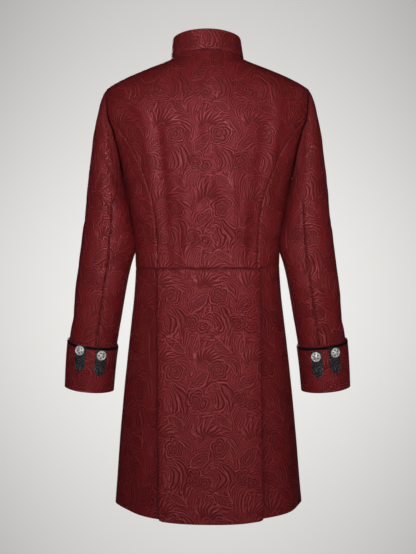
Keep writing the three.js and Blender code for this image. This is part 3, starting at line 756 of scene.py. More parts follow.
# A closed shell of cloth on a grid of face points, with a rounded rim and its cut as a UV map.
def clothShell(name, face, flat, wall, material, ring=False, inside=0, shade=None):
    rows, columns = face.shape[:2]
    normal = directions(face, ring)
    outward = outwardSign(normal, face, inside)
    wrong = face - normal * outward * wall
    shade = np.zeros((rows, columns)) if shade is None else shade
    points = [face.reshape(-1, 3), wrong.reshape(-1, 3)]
    cut = [flat.reshape(-1, 2), flat.reshape(-1, 2)]
    side = [np.zeros(rows * columns), np.ones(rows * columns)]
    shades = [shade.reshape(-1), np.zeros(rows * columns)]
    grid = np.arange(rows * columns).reshape(rows, columns)
    under = grid + rows * columns
    total = 2 * rows * columns
    c = np.arange(columns if ring else columns - 1)
    after = (c + 1) % columns
    quads = []
    for r in range(rows - 1):
        quads.append(np.stack([grid[r, c], grid[r, after], grid[r + 1, after], grid[r + 1, c]], 1))
        quads.append(np.stack([under[r, c], under[r + 1, c], under[r + 1, after], under[r, after]], 1))
    top = [(0, k) for k in range(columns)]
    foot = [(rows - 1, k) for k in reversed(range(columns))]
    right = [(k, columns - 1) for k in range(1, rows - 1)]
    left = [(k, 0) for k in reversed(range(1, rows - 1))]
    for loop in [top, foot] if ring else [top + right + foot + left]:
        r, k = np.array(loop).T
        away = rimDirections(face, r, k, ring)
        middle = (face[r, k] + wrong[r, k]) / 2
        chain = [grid[r, k]]
        for j in range(1, rimSizes["steps"] + 1):
            share = j / (rimSizes["steps"] + 1)
            over = math.cos(math.pi * share) * (face[r, k] - middle)
            points.append(middle + over + math.sin(math.pi * share) * away * wall * rimSizes["out"])
            cut.append(flat[r, k])
            side.append(np.full(len(loop), share))
            shades.append(shade[r, k])
            chain.append(total + np.arange(len(loop)))
            total += len(loop)
        chain.append(under[r, k])
        for a, b in zip(chain, chain[1:]):
            quads.append(np.stack([np.roll(a, -1), a, b, np.roll(b, -1)], 1))
    quads = np.concatenate(quads)
    if outward < 0:
        quads = quads[:, ::-1]
    # The shade values are painted shade along seams, folds and panel edges, which darkens the cloth's colour.
    values = {"wrongSide": np.concatenate(side), "paintedShade": np.concatenate(shades)}
    return meshPiece(name, np.concatenate(points), quads.tolist(), material, np.concatenate(cut), values)


# Prints the size of a shell's cut and its area, and puts the shell in place of the node it stands for.
def declareCloth(piece, node, face, flat):
    size = np.ptp(flat.reshape(-1, 2), axis=0) * mm
    across = np.diff(face, axis=1)[:-1]
    down = np.diff(face, axis=0)[:, :-1]
    area = float(np.linalg.norm(np.cross(across, down), axis=2).sum()) * mm * mm
    width, length = float(size[0]), float(size[1])
    width *= max(1, area / (width * length))
    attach(piece, "root")
    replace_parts(piece, node)
    print(f"  {piece.name}: cut {width:.3f} x {length:.3f} m, area {area:.3f} m2")


# Makes a panel and says what it is.
def sewPanel(name, node, face, flat, shade, wall=cutSizes["wall"], inside=0):
    piece = clothShell(name, face, flat, wall, redBrocade, inside=inside, shade=shade)
    declareCloth(piece, node, face, flat)


def neckLift(height, turn):
    return cutSizes["napeRise"] * np.maximum(0, np.cos(turn)) ** 2 * rising(height, cutSizes["shoulderZ"], 0)


armholeMiddleZ = (cutSizes["shoulderZ"] + cutSizes["underarmZ"]) / 2
armholeHalf = (cutSizes["shoulderZ"] - cutSizes["underarmZ"]) / 2


def armholeReach(z, reach):
    up = min(1, max(-1, (z - armholeMiddleZ) / armholeHalf))
    return max(0.01, reach * math.sqrt(1 - up * up))


def princessTurn(z):
    top = cutSizes["princessTop"]
    along = min(1, max(0, (-z - top) / (-cutSizes["waistZ"] - top)))
    topTurn = turnAtY(armholeReach(-top, cutSizes["armholeBackReach"]), -top)
    topX, panel = outline(topTurn, section(-top))[0], cutSizes["panelHalfWidth"]
    return turnAtX(panel + (topX - panel) * (1 - along) ** cutSizes["princessBend"], z, 1)


# Halves the way between a value where a test fails and one where it holds, and returns the first.
def search(fails, holds, test):
    for _ in range(30):
        middle = (fails + holds) / 2
        if test(middle):
            holds = middle
        else:
            fails = middle
    return fails, holds


def neckTurn(z):
    def outside(turn):
        x, y = outline(turn, section(z))
        return (x / cutSizes["neckHalfWidth"]) ** 2 + (y / cutSizes["neckFrontReach"]) ** 2 > 1

    return search(math.pi, quarter, outside)[0]


def backEdge(z):
    if z < -cutSizes["princessTop"]:
        return princessTurn(z)
    if z < cutSizes["shoulderZ"]:
        return turnAtY(armholeReach(z, cutSizes["armholeBackReach"]), z)
    return quarter


def sideBackEdge(z):
    if z < cutSizes["underarmZ"]:
        return quarter
    return turnAtY(armholeReach(z, cutSizes["armholeBackReach"]), z)


def frontSideEdge(z):
    if z <= cutSizes["underarmZ"] or z >= cutSizes["shoulderZ"]:
        return quarter
    return turnAtY(-armholeReach(z, cutSizes["armholeFrontReach"]), z)


def frontCentreEdge(z):
    if z < cutSizes["neckFrontZ"] - 4:
        return wholeTurn - turnAtX(cutSizes["frontLap"], z, -1)
    return min(neckTurn(z), math.pi)


def lapLift(turn, z):
    x, _ = outline(turn, section(z))
    return cutSizes["lapLift"] * (1 - rising(x, cutSizes["frontLap"] + 8, cutSizes["frontLap"] + 48))


# The flat cut of a row: lengths along the cloth from a turn, and up it from the waist. Above a level
# near the armhole the cloth slopes in to the shoulder, so it is unrolled upwards from there.
flatCut = {"levelZ": -124, "columns": 900, "rows": 24}


def flatRow(turns, z, fromTurn):
    level = min(z, flatCut["levelZ"])
    x, _ = outline(turns, section(z))
    if z > level:
        face = np.where(np.cos(turns) > 0, 1, -1)
        onLevel = np.array([turnAtX(a, level, b) for a, b in zip(x, face)])
        turns = onLevel + wholeTurn * np.round((turns - onLevel) / wholeTurn)
    dense = np.linspace(-1.1 * math.pi, 1.1 * math.pi, flatCut["columns"])
    arc = lengthsAlong(np.stack(outline(dense, section(level)), -1))
    u = np.interp(fromTurn, dense, arc) - np.interp(turns, dense, arc)
    if z <= level:
        return u, np.full(len(u), z)
    levels = np.linspace(level, z, flatCut["rows"])
    half, back, front, square = section(levels)
    depths = np.where(np.cos(turns)[:, None] > 0, back, front)
    share = np.clip(np.abs(x)[:, None] / half, 0, 1)
    y = depths * (1 - share**square) ** (1 / square)
    return u, level + np.hypot(np.diff(y, axis=1), np.diff(levels)).sum(1)


def rowHeights(low, high):
    return mixed(low, high, spread(high - low, cutSizes["gridStep"]))


def mirroredEdges(edges):
    def onOtherSide(z):
        return [-turn for turn in reversed(edges(z))]

    return onOtherSide


# Depths in mm that the cloth rolls down at each kind of seam. The back seams are pressed towards the
# side, so the centre back stands over the side backs.
seamDepths = {
    "plain": 1.3,
    "armhole": 1.5,
    "over": 1.1,
    "under": 3.4,
    "waist": 2.2,
    "skirtTop": 1.0,
    "neck": 0.8,
}
# The bodice's panels: width in mm, turn that the cut is measured from, and place on the brocade. Their
# seams are named left and right as each is seen from outside.
bodiceCut = {
    "backCentre": {"node": "back_centre", "width": 380, "fromTurn": 0, "shift": (0, 0)},
    "sideBackLeft": {"node": "side_back_left", "width": 90, "fromTurn": quarter, "shift": (31, 47)},
    "sideBackRight": {"node": "side_back_right", "width": 90, "fromTurn": -quarter, "shift": (-52, 81)},
    "frontLeft": {"node": "front_left", "width": 250, "fromTurn": math.pi, "shift": (12, 30)},
    "frontRight": {"node": "front_right", "width": 250, "fromTurn": -math.pi, "shift": (-12, 30)},
}


def bodicePanel(name, heights, edges, seams, liftAt=None):
    row = bodiceCut[name]
    t = spread(row["width"], cutSizes["gridStep"])
    face, flat = [], []
    for height in heights[::-1]:
        turns = mixed(*edges(height), t)
        z = height + neckLift(height, turns)
        face.append(bodyPoint(turns, z, liftAt(turns, z) if liftAt else 0))
        flat.append(np.stack(flatRow(turns, height, row["fromTurn"]), -1) + row["shift"])
    face, shade = rolled(np.array(face), seams)
    sewPanel(f"{name}Cloth", row["node"], face, np.array(flat), shade)
    return face


def backEdges(z):
    return [-backEdge(z), backEdge(z)]


def sideEdges(z):
    return [princessTurn(z), sideBackEdge(z)]


def frontEdges(z):
    return [frontSideEdge(z), frontCentreEdge(z)]


# A seam that turns into the armhole above a height, from its top down.
def seamToArmhole(heights, depth, low, high):
    return mixed(depth, seamDepths["armhole"], rising(heights, low, high))[::-1]


def makeBodice():
    plain, waist, neck = seamDepths["plain"], seamDepths["waist"], seamDepths["neck"]
    footZ = cutSizes["waistZ"] + cutSizes["seamGap"]
    heights = np.sort(np.concatenate([rowHeights(footZ, -1), [-68, -64, -61, -56]]))
    depth = seamToArmhole(heights, seamDepths["over"], -140, -112)
    bodicePanel("backCentre", heights, backEdges, {"left": depth, "right": depth, "top": neck, "foot": waist})
    sideHeights = rowHeights(footZ, -cutSizes["princessTop"] - 0.5)
    depth, under = seamToArmhole(sideHeights, plain, -262, -240), seamDepths["under"]
    bodicePanel("sideBackLeft", sideHeights, sideEdges, {"left": under, "right": depth, "foot": waist})
    mirrored = mirroredEdges(sideEdges)
    bodicePanel("sideBackRight", sideHeights, mirrored, {"left": depth, "right": under, "foot": waist})
    neckRows = cutSizes["neckFrontZ"] + np.array([-4.01, -2, 0, 1.2, 3])
    frontHeights = np.sort(np.concatenate([heights, neckRows]))
    depth, mirrored = seamToArmhole(frontHeights, plain, -262, -240), mirroredEdges(frontEdges)
    seams = {"left": depth, "top": neck, "foot": waist}
    face = bodicePanel("frontLeft", frontHeights, frontEdges, seams, lapLift)
    bodicePanel("frontRight", frontHeights, mirrored, {"right": depth, "top": neck, "foot": waist})
    return face


frontLeftFace = makeBodice()
print("stage: bodice")


# Sink is how far the skirt's sides lie behind the centre panel at the hem, and sinkReach how far round.
skirtSizes = {
    "gridStep": 5,
    "hemStep": 2,
    "stepShare": 0.8,  # of that step that is gone at the panel's edges
    "cornerRise": 1.8,
    "cornerReach": 6,
    "foldRadius": 2.4,
    "liftFrom": 55,  # from here out the panel stands over its own folded edges
    "rest": 0.8,
    "foldColumns": 13,
    "returnColumns": 5,
    # Painted shade along the centre panel's rounded folded edges, as a share of full shade.
    "paintedFoldShade": 0.75,
    "underFold": 6,  # how far the side panels reach in past the folded edges
    "sink": 11,
    "sinkReach": 40,
    # Painted shadow on the back of the side panels beside the centre panel's edges: near and dark give a dark
    # line at the edge, far and dim a wider soft shade, and inside how far in past the edge it starts.
    "paintedEdgeShadow": {"near": 2.6, "dark": 0.65, "far": 14, "dim": 0.3, "inside": -8},
}
skirtWaves = [
    {"turn": 12, "spread": 9, "depth": 2.4},
    {"turn": -16, "spread": 11, "depth": -2.0},
    {"turn": 30, "spread": 8, "depth": -1.6},
    {"turn": 58, "spread": 12, "depth": 4.0},
    {"turn": 84, "spread": 10, "depth": -3.2},
    {"turn": -52, "spread": 11, "depth": -3.4},
    {"turn": -74, "spread": 12, "depth": 3.6},
    {"turn": 112, "spread": 12, "depth": 4.2},
    {"turn": 140, "spread": 13, "depth": -3.6},
    {"turn": -108, "spread": 12, "depth": -3.8},
    {"turn": -138, "spread": 12, "depth": 4.0},
]
# How far down the skirt each row of its grid lies, as a share.
skirtShares = spread(cutSizes["waistZ"] - cutSizes["sideHemZ"], skirtSizes["gridStep"])


def hemZ(turn):
    dip = np.where(np.cos(turn) > 0, 1 - np.abs(np.sin(turn)) ** cutSizes["backHemCurve"], 0)
    return cutSizes["sideHemZ"] - cutSizes["backHemExtra"] * dip


def skirtZ(turn, along, top=0):
    return mixed(cutSizes["waistZ"] - top, hemZ(turn), along)


# The skirt leans over, more and more towards the hem.
def leaned(face):
    down = np.maximum(0, cutSizes["waistZ"] - face[..., 2:])
    lean = cutSizes["hemLean"] / (cutSizes["waistZ"] - cutSizes["sideHemZ"])
    return face - down * lean * (1, 0, 0)


def panelMiddle(along):
    return -mixed(*cutSizes["panelLean"], along)


def pleatSink(turn, along):
    x, _ = outline(turn, section(skirtZ(turn, along)))
    away = np.abs(x - panelMiddle(along)) - cutSizes["panelHalfWidth"]
    near = np.exp(-((away / skirtSizes["sinkReach"]) ** 2))
    sink = (1 + skirtSizes["sink"] * along) * rising(along, 0, 0.12) * near
    return np.where(np.cos(turn) < 0, 0, sink)


# Soft flutes that deepen towards the hem.
def fluteDepth(turn, along):
    degrees = np.degrees(turn)
    total = 0
    for wave in skirtWaves:
        apart = (degrees - wave["turn"] + 540) % 360 - 180
        total = total + wave["depth"] * np.exp(-((apart / wave["spread"]) ** 2))
    return total * rising(along, 0.05, 0.9)


# The side and front panels, with sizes as in the bodice's own table.
skirtCut = {
    "skirtSideLeft": {"node": "skirt_side_left", "width": 150, "fromTurn": quarter, "shift": (23, 64)},
    "skirtSideRight": {"node": "skirt_side_right", "width": 150, "fromTurn": -quarter, "shift": (-44, 18)},
    "skirtFrontLeft": {"node": "skirt_front_left", "width": 260, "fromTurn": math.pi, "shift": (12, 30)},
    "skirtFrontRight": {"node": "skirt_front_right", "width": 260, "fromTurn": -math.pi, "shift": (-12, 30)},
}


def skirtPanel(name, edges, seams, liftAt=None):
    row = skirtCut[name]
    t = spread(row["width"], cutSizes["gridStep"])
    face, flat = [], []
    for along in skirtShares:
        turns = mixed(*edges(along), t)
        z = skirtZ(turns, along, cutSizes["seamGap"])
        lift = (liftAt(turns, z) if liftAt else 0) - pleatSink(turns, along) - fluteDepth(turns, along)
        face.append(bodyPoint(turns, z, lift))
        u, _ = flatRow(turns, float(z.mean()), row["fromTurn"])
        flat.append(np.stack([u, z], -1) + row["shift"])
    face, shade = rolled(np.array(face), seams)
    # Painted shadow on the back of the skirt beside the centre panel's edges, added to the seams' painted
    # shade.
    dark = skirtSizes["paintedEdgeShadow"]
    beside = np.abs(face[..., 0] - panelMiddle(skirtShares)[:, None]) - cutSizes["panelHalfWidth"]
    near = np.exp(-np.abs(beside) / dark["near"]) * dark["dark"]
    near += np.exp(-np.maximum(beside, 0) / dark["far"]) * dark["dim"]
    shade = np.maximum(shade, near * (face[..., 1] > 0) * (beside > dark["inside"]))
    face = leaned(face)
    sewPanel(f"{name}Cloth", row["node"], face, np.array(flat), shade)
    return face


# Half of the centre panel's section from its middle out, round the folded edge and back under it: places
# across the coat, out from the skirt's sides and along the cloth at the fold.
def foldedEdge():
    radius, count = skirtSizes["foldRadius"], skirtSizes["returnColumns"]
    foldX = cutSizes["panelHalfWidth"] - radius
    edgeLift = 2 * radius + 0.6
    flatXs = np.concatenate([np.arange(0, 90, 4.5), np.linspace(90, foldX, 5)[:-1]])
    lifts = mixed(skirtSizes["rest"], edgeLift, rising(flatXs, skirtSizes["liftFrom"], foldX - 4))
    turns = np.radians(np.linspace(0, 180, skirtSizes["foldColumns"]))
    backXs = np.linspace(foldX, foldX - cutSizes["pleatReturn"], count + 1)[1:]
    xs = np.concatenate([flatXs, np.full(len(turns), foldX), backXs])
    fold = edgeLift - radius + radius * np.cos(turns)
    outs = np.concatenate([lifts, fold, np.full(count, edgeLift - 2 * radius)])
    across = np.concatenate([np.zeros(len(flatXs)), radius * np.sin(turns), np.zeros(count)])
    return foldX, xs, outs, across, lengthsAlong(np.stack([xs + across, outs], -1))


def centreSkirt():
    foldX, *halves = foldedEdge()
    xs, outs, across, runs = (np.concatenate([half[:0:-1], half]) for half in halves)
    side = np.where(np.arange(len(xs)) < len(xs) // 2, -1.0, 1.0)
    face, flat = [], []
    for along in skirtShares:
        level = float(skirtZ(0, along))
        turns = np.array([turnAtX(s * x + panelMiddle(along), level, 1) for s, x in zip(side, xs)])
        step = 1 - skirtSizes["stepShare"] * rising(xs, skirtSizes["liftFrom"], foldX)
        corner = skirtSizes["cornerRise"] * rising(xs, foldX - skirtSizes["cornerReach"], foldX + 1) ** 2
        foot = hemZ(turns) - skirtSizes["hemStep"] * step + corner * rising(along, 0.9, 1.0)
        z = mixed(cutSizes["waistZ"] - cutSizes["seamGap"], foot, along)
        base = bodyPoint(turns, z, -fluteDepth(turns, along) * 0.8)
        tangent = bodyPoint(turns + 0.01, z) - bodyPoint(turns - 0.01, z)
        tangent /= np.linalg.norm(tangent, axis=1, keepdims=True)
        normal = np.stack([-tangent[:, 1], tangent[:, 0], np.zeros(len(xs))], -1)
        normal *= np.sign((normal * base).sum(1))[:, None]
        face.append(base + normal * outs[:, None] + tangent * (side * across)[:, None])
        flat.append(np.stack([-side * runs, z], -1) + (7, 22))
    face, shade = rolled(np.array(face), {"top": seamDepths["skirtTop"]})
    radius = skirtSizes["foldRadius"]
    # Painted shade on the centre panel's folded edges, where they turn under.
    shade = np.maximum(shade, skirtSizes["paintedFoldShade"] * rising(across, radius * 0.4, radius)[None, :])
    face = leaned(face)
    sewPanel("skirtBackCloth", "skirt_back", face, np.array(flat), shade)
    return face


# Side is 1 for the panel on the wearer's left, and -1 for the one on their right before it is mirrored.
def foldToSeam(side):
    panel = cutSizes["panelHalfWidth"] - cutSizes["pleatReturn"] - skirtSizes["underFold"]

    def edges(along):
        return [turnAtX(panel + side * panelMiddle(along), float(skirtZ(0.6, along)), 1), quarter]

    return edges


def seamToLap(along):
    return [quarter, wholeTurn - turnAtX(cutSizes["frontLap"], float(skirtZ(math.pi, along)), -1)]


def makeSkirt():
    side, top = seamDepths["plain"], seamDepths["skirtTop"]
    onRight, onLeft = {"right": side, "top": top}, {"left": side, "top": top}
    return [
        centreSkirt(),
        skirtPanel("skirtSideLeft", foldToSeam(1), onRight),
        skirtPanel("skirtSideRight", mirroredEdges(foldToSeam(-1)), onLeft),
        skirtPanel("skirtFrontLeft", seamToLap, onLeft, lapLift),
        skirtPanel("skirtFrontRight", mirroredEdges(seamToLap), onRight),
    ]


skirtFaces = makeSkirt()
print("stage: skirt")


collarSizes = {
    "height": 41,
    "wall": 2.4,
    "lean": 4,
    "backLean": 2.5,
    "shift": 1.5,
    "frontGap": 2.4,
    "backRise": 0.05,
    "sideDrop": 0.19,
    "frontDrop": 0.4,
}


def neckPoint(turn):
    side = abs(turn)
    if side <= quarter:
        return bodyPoint(np.array([turn]), np.array([cutSizes["napeRise"] * math.cos(side) ** 2]))[0]
    x = cutSizes["neckHalfWidth"] * math.sin(side)
    y = cutSizes["neckFrontReach"] * math.cos(side)

    def outside(z):
        half, _, front, square = section(z)
        return (x / half) ** square + (-y / front) ** square > 1

    return np.array([math.copysign(x, turn), y, sum(search(cutSizes["neckFrontZ"], 0, outside)) / 2])


def makeCollar():
    sizes = collarSizes
    gap = math.radians(sizes["frontGap"])
    turns = mixed(-math.pi + gap, math.pi - gap, spread(470, 4))
    feet = np.array([neckPoint(turn) for turn in turns])
    inward = -feet * (1, 1, 0)
    inward /= np.linalg.norm(inward, axis=1, keepdims=True)
    degrees = np.degrees(np.abs(turns))
    height = 1 + sizes["backRise"] * rising(degrees, 0, 60) - sizes["sideDrop"] * rising(degrees, 66, 98)
    height *= sizes["height"] * (1 - sizes["frontDrop"] * rising(degrees, 155, 180) ** 3)
    run = lengthsAlong(feet)
    run -= run[len(run) // 2]
    face, flat = [], []
    for up in spread(sizes["height"], 3.5)[::-1]:
        wave = 0.5 * np.sin(run / 19) * math.sin(math.pi * up) + 0.35 * np.sin(run / 7.3 + 1) * (1 - up)
        points = feet + inward * (sizes["lean"] * up + wave)[:, None]
        points += (sizes["shift"] * up, -sizes["backLean"] * up, 0.2)
        points[:, 2] += height * up
        face.append(points)
        flat.append(np.stack([-run, height * up], -1) + (20, 60))
    face, shade = rolled(np.array(face), {"foot": seamDepths["neck"]})
    sewPanel("collarBand", "collar", face, np.array(flat), shade, sizes["wall"])


makeCollar()
print("stage: collar")


# Places on a sleeve are by its turn from the outer side towards the back, in degrees, and by height.
sleeveSizes = {
    "headEndZ": -300,
    "tubeEndZ": -689,
    "headLength": 235,
    "tubeLength": 390,
    "topWidth": 190,
    "underWidth": 110,
    "frontSeamTurn": 228,
    "backSeamTurns": (124, 100),  # at the head, and from a little below it
    "seamDepth": 1.69,
    "unevenness": 0.8,
    "bodyTouch": 4,
    "touchFrom": (-425, -388),  # heights over which that touch comes in, and goes out
    "touchTo": (-252, -234),
    "mmPerDegree": 0.87,
}
# How the cloth leaves the armhole and reaches the tube. A pair is a value at the underarm, and what the
# top of the sleeve adds to it.
headCurve = {
    "gap": 0.5,
    "across": (0.12, 0.42),
    "back": 0.35,
    "up": (-1, 0.2),
    "strength": (0.9, -0.45),
    "arrive": 0.9,
}
# The first rows are the solids' own folds.
sleeveCreases = {
    "left": [
        (40, -206, 88, -222, 9, 3.0),
        (48, -292, 96, -306, 9, 3.0),
        (80, -366, 140, -392, 10, 3.8),
        (74, -442, 130, -416, 9, 3.2),
        (200, -398, 272, -410, 11, 4.4),
        (222, -450, 282, -440, 10, 3.4),
        (46, -574, 96, -544, 9, 2.4),
        (20, -250, 60, -276, 8, 1.6),
        (10, -340, 64, -352, 9, 1.8),
        (96, -330, 150, -300, 8, 2.0),
        (110, -470, 160, -500, 9, 1.6),
        (20, -480, 70, -500, 10, -1.8),
        (60, -520, 120, -508, 8, 1.6),
        (-60, -330, 0, -350, 12, 2.2),
        (-70, -430, -10, -440, 12, 2.4),
        (-40, -560, 20, -540, 12, 1.8),
        (8, -130, 20, -300, 12, -1.6),
    ],
    "right": [
        (38, -216, 84, -208, 9, 3.0),
        (50, -300, 98, -292, 9, 2.8),
        (78, -378, 138, -372, 10, 3.8),
        (70, -430, 132, -436, 9, 3.2),
        (204, -404, 274, -402, 11, 4.2),
        (220, -440, 284, -452, 10, 3.6),
        (44, -556, 98, -566, 9, 2.2),
        (16, -262, 62, -256, 8, 1.7),
        (6, -352, 66, -338, 9, 2.0),
        (98, -322, 150, -336, 8, 2.0),
        (104, -492, 158, -478, 9, 1.7),
        (16, -500, 72, -486, 10, -1.6),
        (58, -528, 118, -534, 8, 1.5),
        (-62, -342, 0, -330, 12, 2.2),
        (-68, -436, -12, -426, 12, 2.2),
        (-40, -540, 22, -556, 12, 1.8),
        (10, -140, 16, -290, 12, -1.6),
    ],
}
# Both sleeves are worked out as the left one, and the right one is mirrored.
flips = {"left": 1, "right": -1}
fourTurns = np.radians([0, 90, 180, 270])


def sleeveTube(turn, z, lift=0):
    row = [readTable(sleeveSections, sleeveColumns, name, z) for name in sleeveColumns[1:]]
    x, y, outer, inner, back, front, roll, pitch = row
    sin, cos = np.sin(turn), np.cos(turn)
    wide = cos * (np.where(cos > 0, outer, inner) + lift)
    deep = sin * (np.where(sin > 0, back, front) + lift)
    roll, pitch = np.radians(roll), np.radians(pitch)
    up = wide * np.sin(roll) - deep * np.sin(pitch)
    return np.stack([x + wide * np.cos(roll), y + deep * np.cos(pitch), z + up], -1)


def armholePoint(turn):
    sin = np.sin(turn)
    y = sin * np.where(sin > 0, cutSizes["armholeBackReach"], cutSizes["armholeFrontReach"])
    z = armholeMiddleZ + armholeHalf * np.cos(turn)
    width, back, front, square = section(z)
    depth = np.where(y > 0, back, front)
    x = width * (1 - (np.abs(y) / depth) ** square) ** (1 / square)
    return np.stack([x, y, z], -1)


# Where the sleeve rests against the body, its cloth swells to meet it.
def bodyTouch(turn, z):
    high = rising(z, *sleeveSizes["touchFrom"]) * (1 - rising(z, *sleeveSizes["touchTo"]))
    return sleeveSizes["bodyTouch"] * rising(-np.cos(turn), 0.2, 0.95) * high


# The sleeve's own unevenness and creases, which are placed by degrees round it.
def sleeveLift(turn, z, side):
    size = sleeveSizes["mmPerDegree"]
    degrees = (np.degrees(turn) + 130) % 360 - 130
    rows = [(a * size, b, c * size, d, reach, deep) for a, b, c, d, reach, deep in sleeveCreases[side]]
    uneven = unevenness(np.degrees(turn), z, 3.0) * sleeveSizes["unevenness"]
    return uneven - creaseDepth(rows, degrees * size, z)


# A ring of the sleeve, from 0 at the armhole to 1 at the head's end and 2 at the tube's.
def sleeveFace(turn, along, side):
    if along >= 1:
        z = mixed(sleeveSizes["headEndZ"], sleeveSizes["tubeEndZ"], along - 1)
        return sleeveTube(turn, z + 0 * turn, sleeveLift(turn, z, side) + bodyTouch(turn, z))
    start = armholePoint(turn) + (headCurve["gap"], 0, 0)
    end = sleeveTube(turn, sleeveSizes["headEndZ"] + 0 * turn)
    span = np.linalg.norm(start - end, axis=1, keepdims=True)
    top = (1 + np.cos(turn)) / 2
    pairs = [headCurve[name] for name in ("across", "up", "strength")]
    across, up, strength = [underarm + more * top for underarm, more in pairs]
    leave = np.stack([across, headCurve["back"] * np.sin(turn), up], -1)
    leave *= span * strength[:, None] / np.linalg.norm(leave, axis=1, keepdims=True)
    arrive = np.array([0.1, 0, -1]) / math.hypot(0.1, 1) * span * headCurve["arrive"]
    points = curve(start, leave, end, arrive, along)
    out = (points - points.mean(0)) * (1, 1, 0)
    out /= np.linalg.norm(out, axis=1, keepdims=True)
    z = points[:, 2]
    lift = sleeveLift(turn, z, side) * rising(along, 0.02, 0.3) + bodyTouch(turn, z) * rising(along, 0, 0.1)
    return points + out * lift[:, None]


def backSeamTurn(along):
    return math.radians(mixed(*sleeveSizes["backSeamTurns"], float(rising(along, 0.7, 1.3))))


def topEdges(along):
    return [math.radians(sleeveSizes["frontSeamTurn"]) - wholeTurn, backSeamTurn(along)]


def underEdges(along):
    return [backSeamTurn(along), math.radians(sleeveSizes["frontSeamTurn"])]


def sleevePanel(part, side, width, edges, shift):
    flip, step, depth = flips[side], cutSizes["gridStep"], sleeveSizes["seamDepth"]
    t = spread(width, step)
    head, tube = spread(sleeveSizes["headLength"], step), spread(sleeveSizes["tubeLength"], step)
    alongs = np.concatenate([head, 1 + tube[1:]])
    middles = np.array([sleeveFace(fourTurns, along, side).mean(0) for along in alongs])
    dense = np.linspace(-0.75 * math.pi, 1.35 * math.pi, 160)
    face, flat = [], []
    for along, down in zip(alongs, lengthsAlong(middles)):
        turns = mixed(*edges(along), t)
        arc = lengthsAlong(sleeveFace(dense, along, side))
        u = np.interp(turns, dense, arc) - np.interp(0.6, dense, arc)
        face.append(sleeveFace(turns, along, side))
        flat.append(np.stack([flip * u, np.full(len(u), -down)], -1) + shift)
    middles = middles[:, None]
    seams = {"left": depth, "right": depth, "top": seamDepths["armhole"]}
    face, shade = rolled(np.array(face), seams, middles)
    face, middles = face * (flip, 1, 1), middles * (flip, 1, 1)
    name, node = f"sleeve{part}{side.capitalize()}Cloth", f"sleeve_{part.lower()}_{side}"
    sewPanel(name, node, face, np.array(flat), shade, inside=middles)


# Stand is how far the cuff stands off the sleeve at its foot and at its top. Length is its cut's.
cuffSizes = {
    "endZ": -688,
    "height": 86,
    "rise": 3.4,
    "wall": 2.2,
    "stand": (0.6, 2),
    "columns": 110,
    "radius": 49,
    "length": 90,
}


def cuffTopZ(turn):
    return cuffSizes["endZ"] + cuffSizes["height"] + cuffSizes["rise"] * 0.5 * (1 + np.cos(turn))


def cuffPoint(turn, z, lift=0):
    share = (z - cuffSizes["endZ"]) / cuffSizes["height"]
    return sleeveTube(turn, z, cuffSizes["wall"] + mixed(*cuffSizes["stand"], share) + lift)


def makeCuff(side):
    flip, word, length = flips[side], side.capitalize(), cuffSizes["length"]
    turns = np.linspace(0, wholeTurn, cuffSizes["columns"], endpoint=False)
    u = flip * cuffSizes["radius"] * ((turns + 0.9) % wholeTurn)
    face, flat = [], []
    for share in spread(length, cutSizes["gridStep"])[::-1]:
        z = mixed(cuffSizes["endZ"] - 2, cuffTopZ(turns), share)
        wave = 0.5 * np.sin(turns * 3 + 1) * math.sin(math.pi * share) + 0.3 * np.sin(turns * 7)
        face.append(cuffPoint(turns, z, wave) * (flip, 1, 1))
        flat.append(np.stack([u, z], -1) + (15, 37))
    face, flat = np.array(face), np.array(flat)
    middle = face.mean(1, keepdims=True)
    piece = clothShell(f"cuff{word}Cloth", face, flat, cuffSizes["wall"], redBrocade, True, middle)
    closed = np.concatenate([face, face[:, :1]], 1)
    wholeCut = np.array([[0, 0], [cuffSizes["radius"] * wholeTurn, length]])
    declareCloth(piece, f"cuff_{side}", closed, wholeCut)


# Cords along the cuff's top edge: the black piping, and over it the edge of the facing behind it. Rise
# is from the cuff's edge to the middle of the cord, and lift from the cuff's face.
cordSizes = {"around": 12, "columns": 150, "cutStep": 0.84}
cords = {
    "piping": {"height": 6.6, "depth": 3.4, "rise": 3.1, "lift": -1.4},
    "facing": {"height": 2.8, "depth": 2.4, "rise": 7.6, "lift": -1.9},
}


def cuffCord(side, kind, material):
    flip, size = flips[side], cords[kind]
    columns, around = cordSizes["columns"], cordSizes["around"]
    turns = np.linspace(0, wholeTurn, columns, endpoint=False)
    wave = 0.25 * np.sin(turns * 5 + flip) + 0.15 * np.sin(turns * 13)
    points, cut = [], []
    for k in range(around):
        a = k / around * wholeTurn
        ring = cuffPoint(turns, cuffTopZ(turns), size["lift"] + size["depth"] / 2 * math.cos(a))
        ring[:, 2] += size["rise"] + size["height"] / 2 * math.sin(a) + wave
        points.append(ring * (flip, 1, 1))
        cut.append(np.stack([turns * cuffSizes["radius"], np.full(columns, k * cordSizes["cutStep"])], -1))
    grid = np.arange(around * columns).reshape(around, columns)
    down = np.roll(grid, -1, 0)
    quads = np.stack([grid, np.roll(grid, -1, 1), np.roll(down, -1, 1), down], -1).reshape(-1, 4)
    name, quads = f"cuff{kind.capitalize()}{side.capitalize()}", quads[:, ::-flip].tolist()
    piece = meshPiece(name, np.concatenate(points), quads, material, np.concatenate(cut))
    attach(piece, "root")
    return piece


# Tabs on the back of each cuff: the turn about the sleeve in degrees, and the height of the top.
tabs = {
    "left": {"outer": {"turn": 67, "top": 95.6}, "inner": {"turn": 113, "top": 88.8}},
    "right": {"outer": {"turn": 67, "top": 91}, "inner": {"turn": 108, "top": 86}},
}
tabSizes = {
    "width": 19.5,
    "length": 54,
    "wall": 1.6,
    "lift": 0.6,
    "radius": 47,
    "crown": 0.35,
    "bend": 0.55,  # how high up the foot's rounding starts, as a share of the width
    "gridStep": 2.2,
}


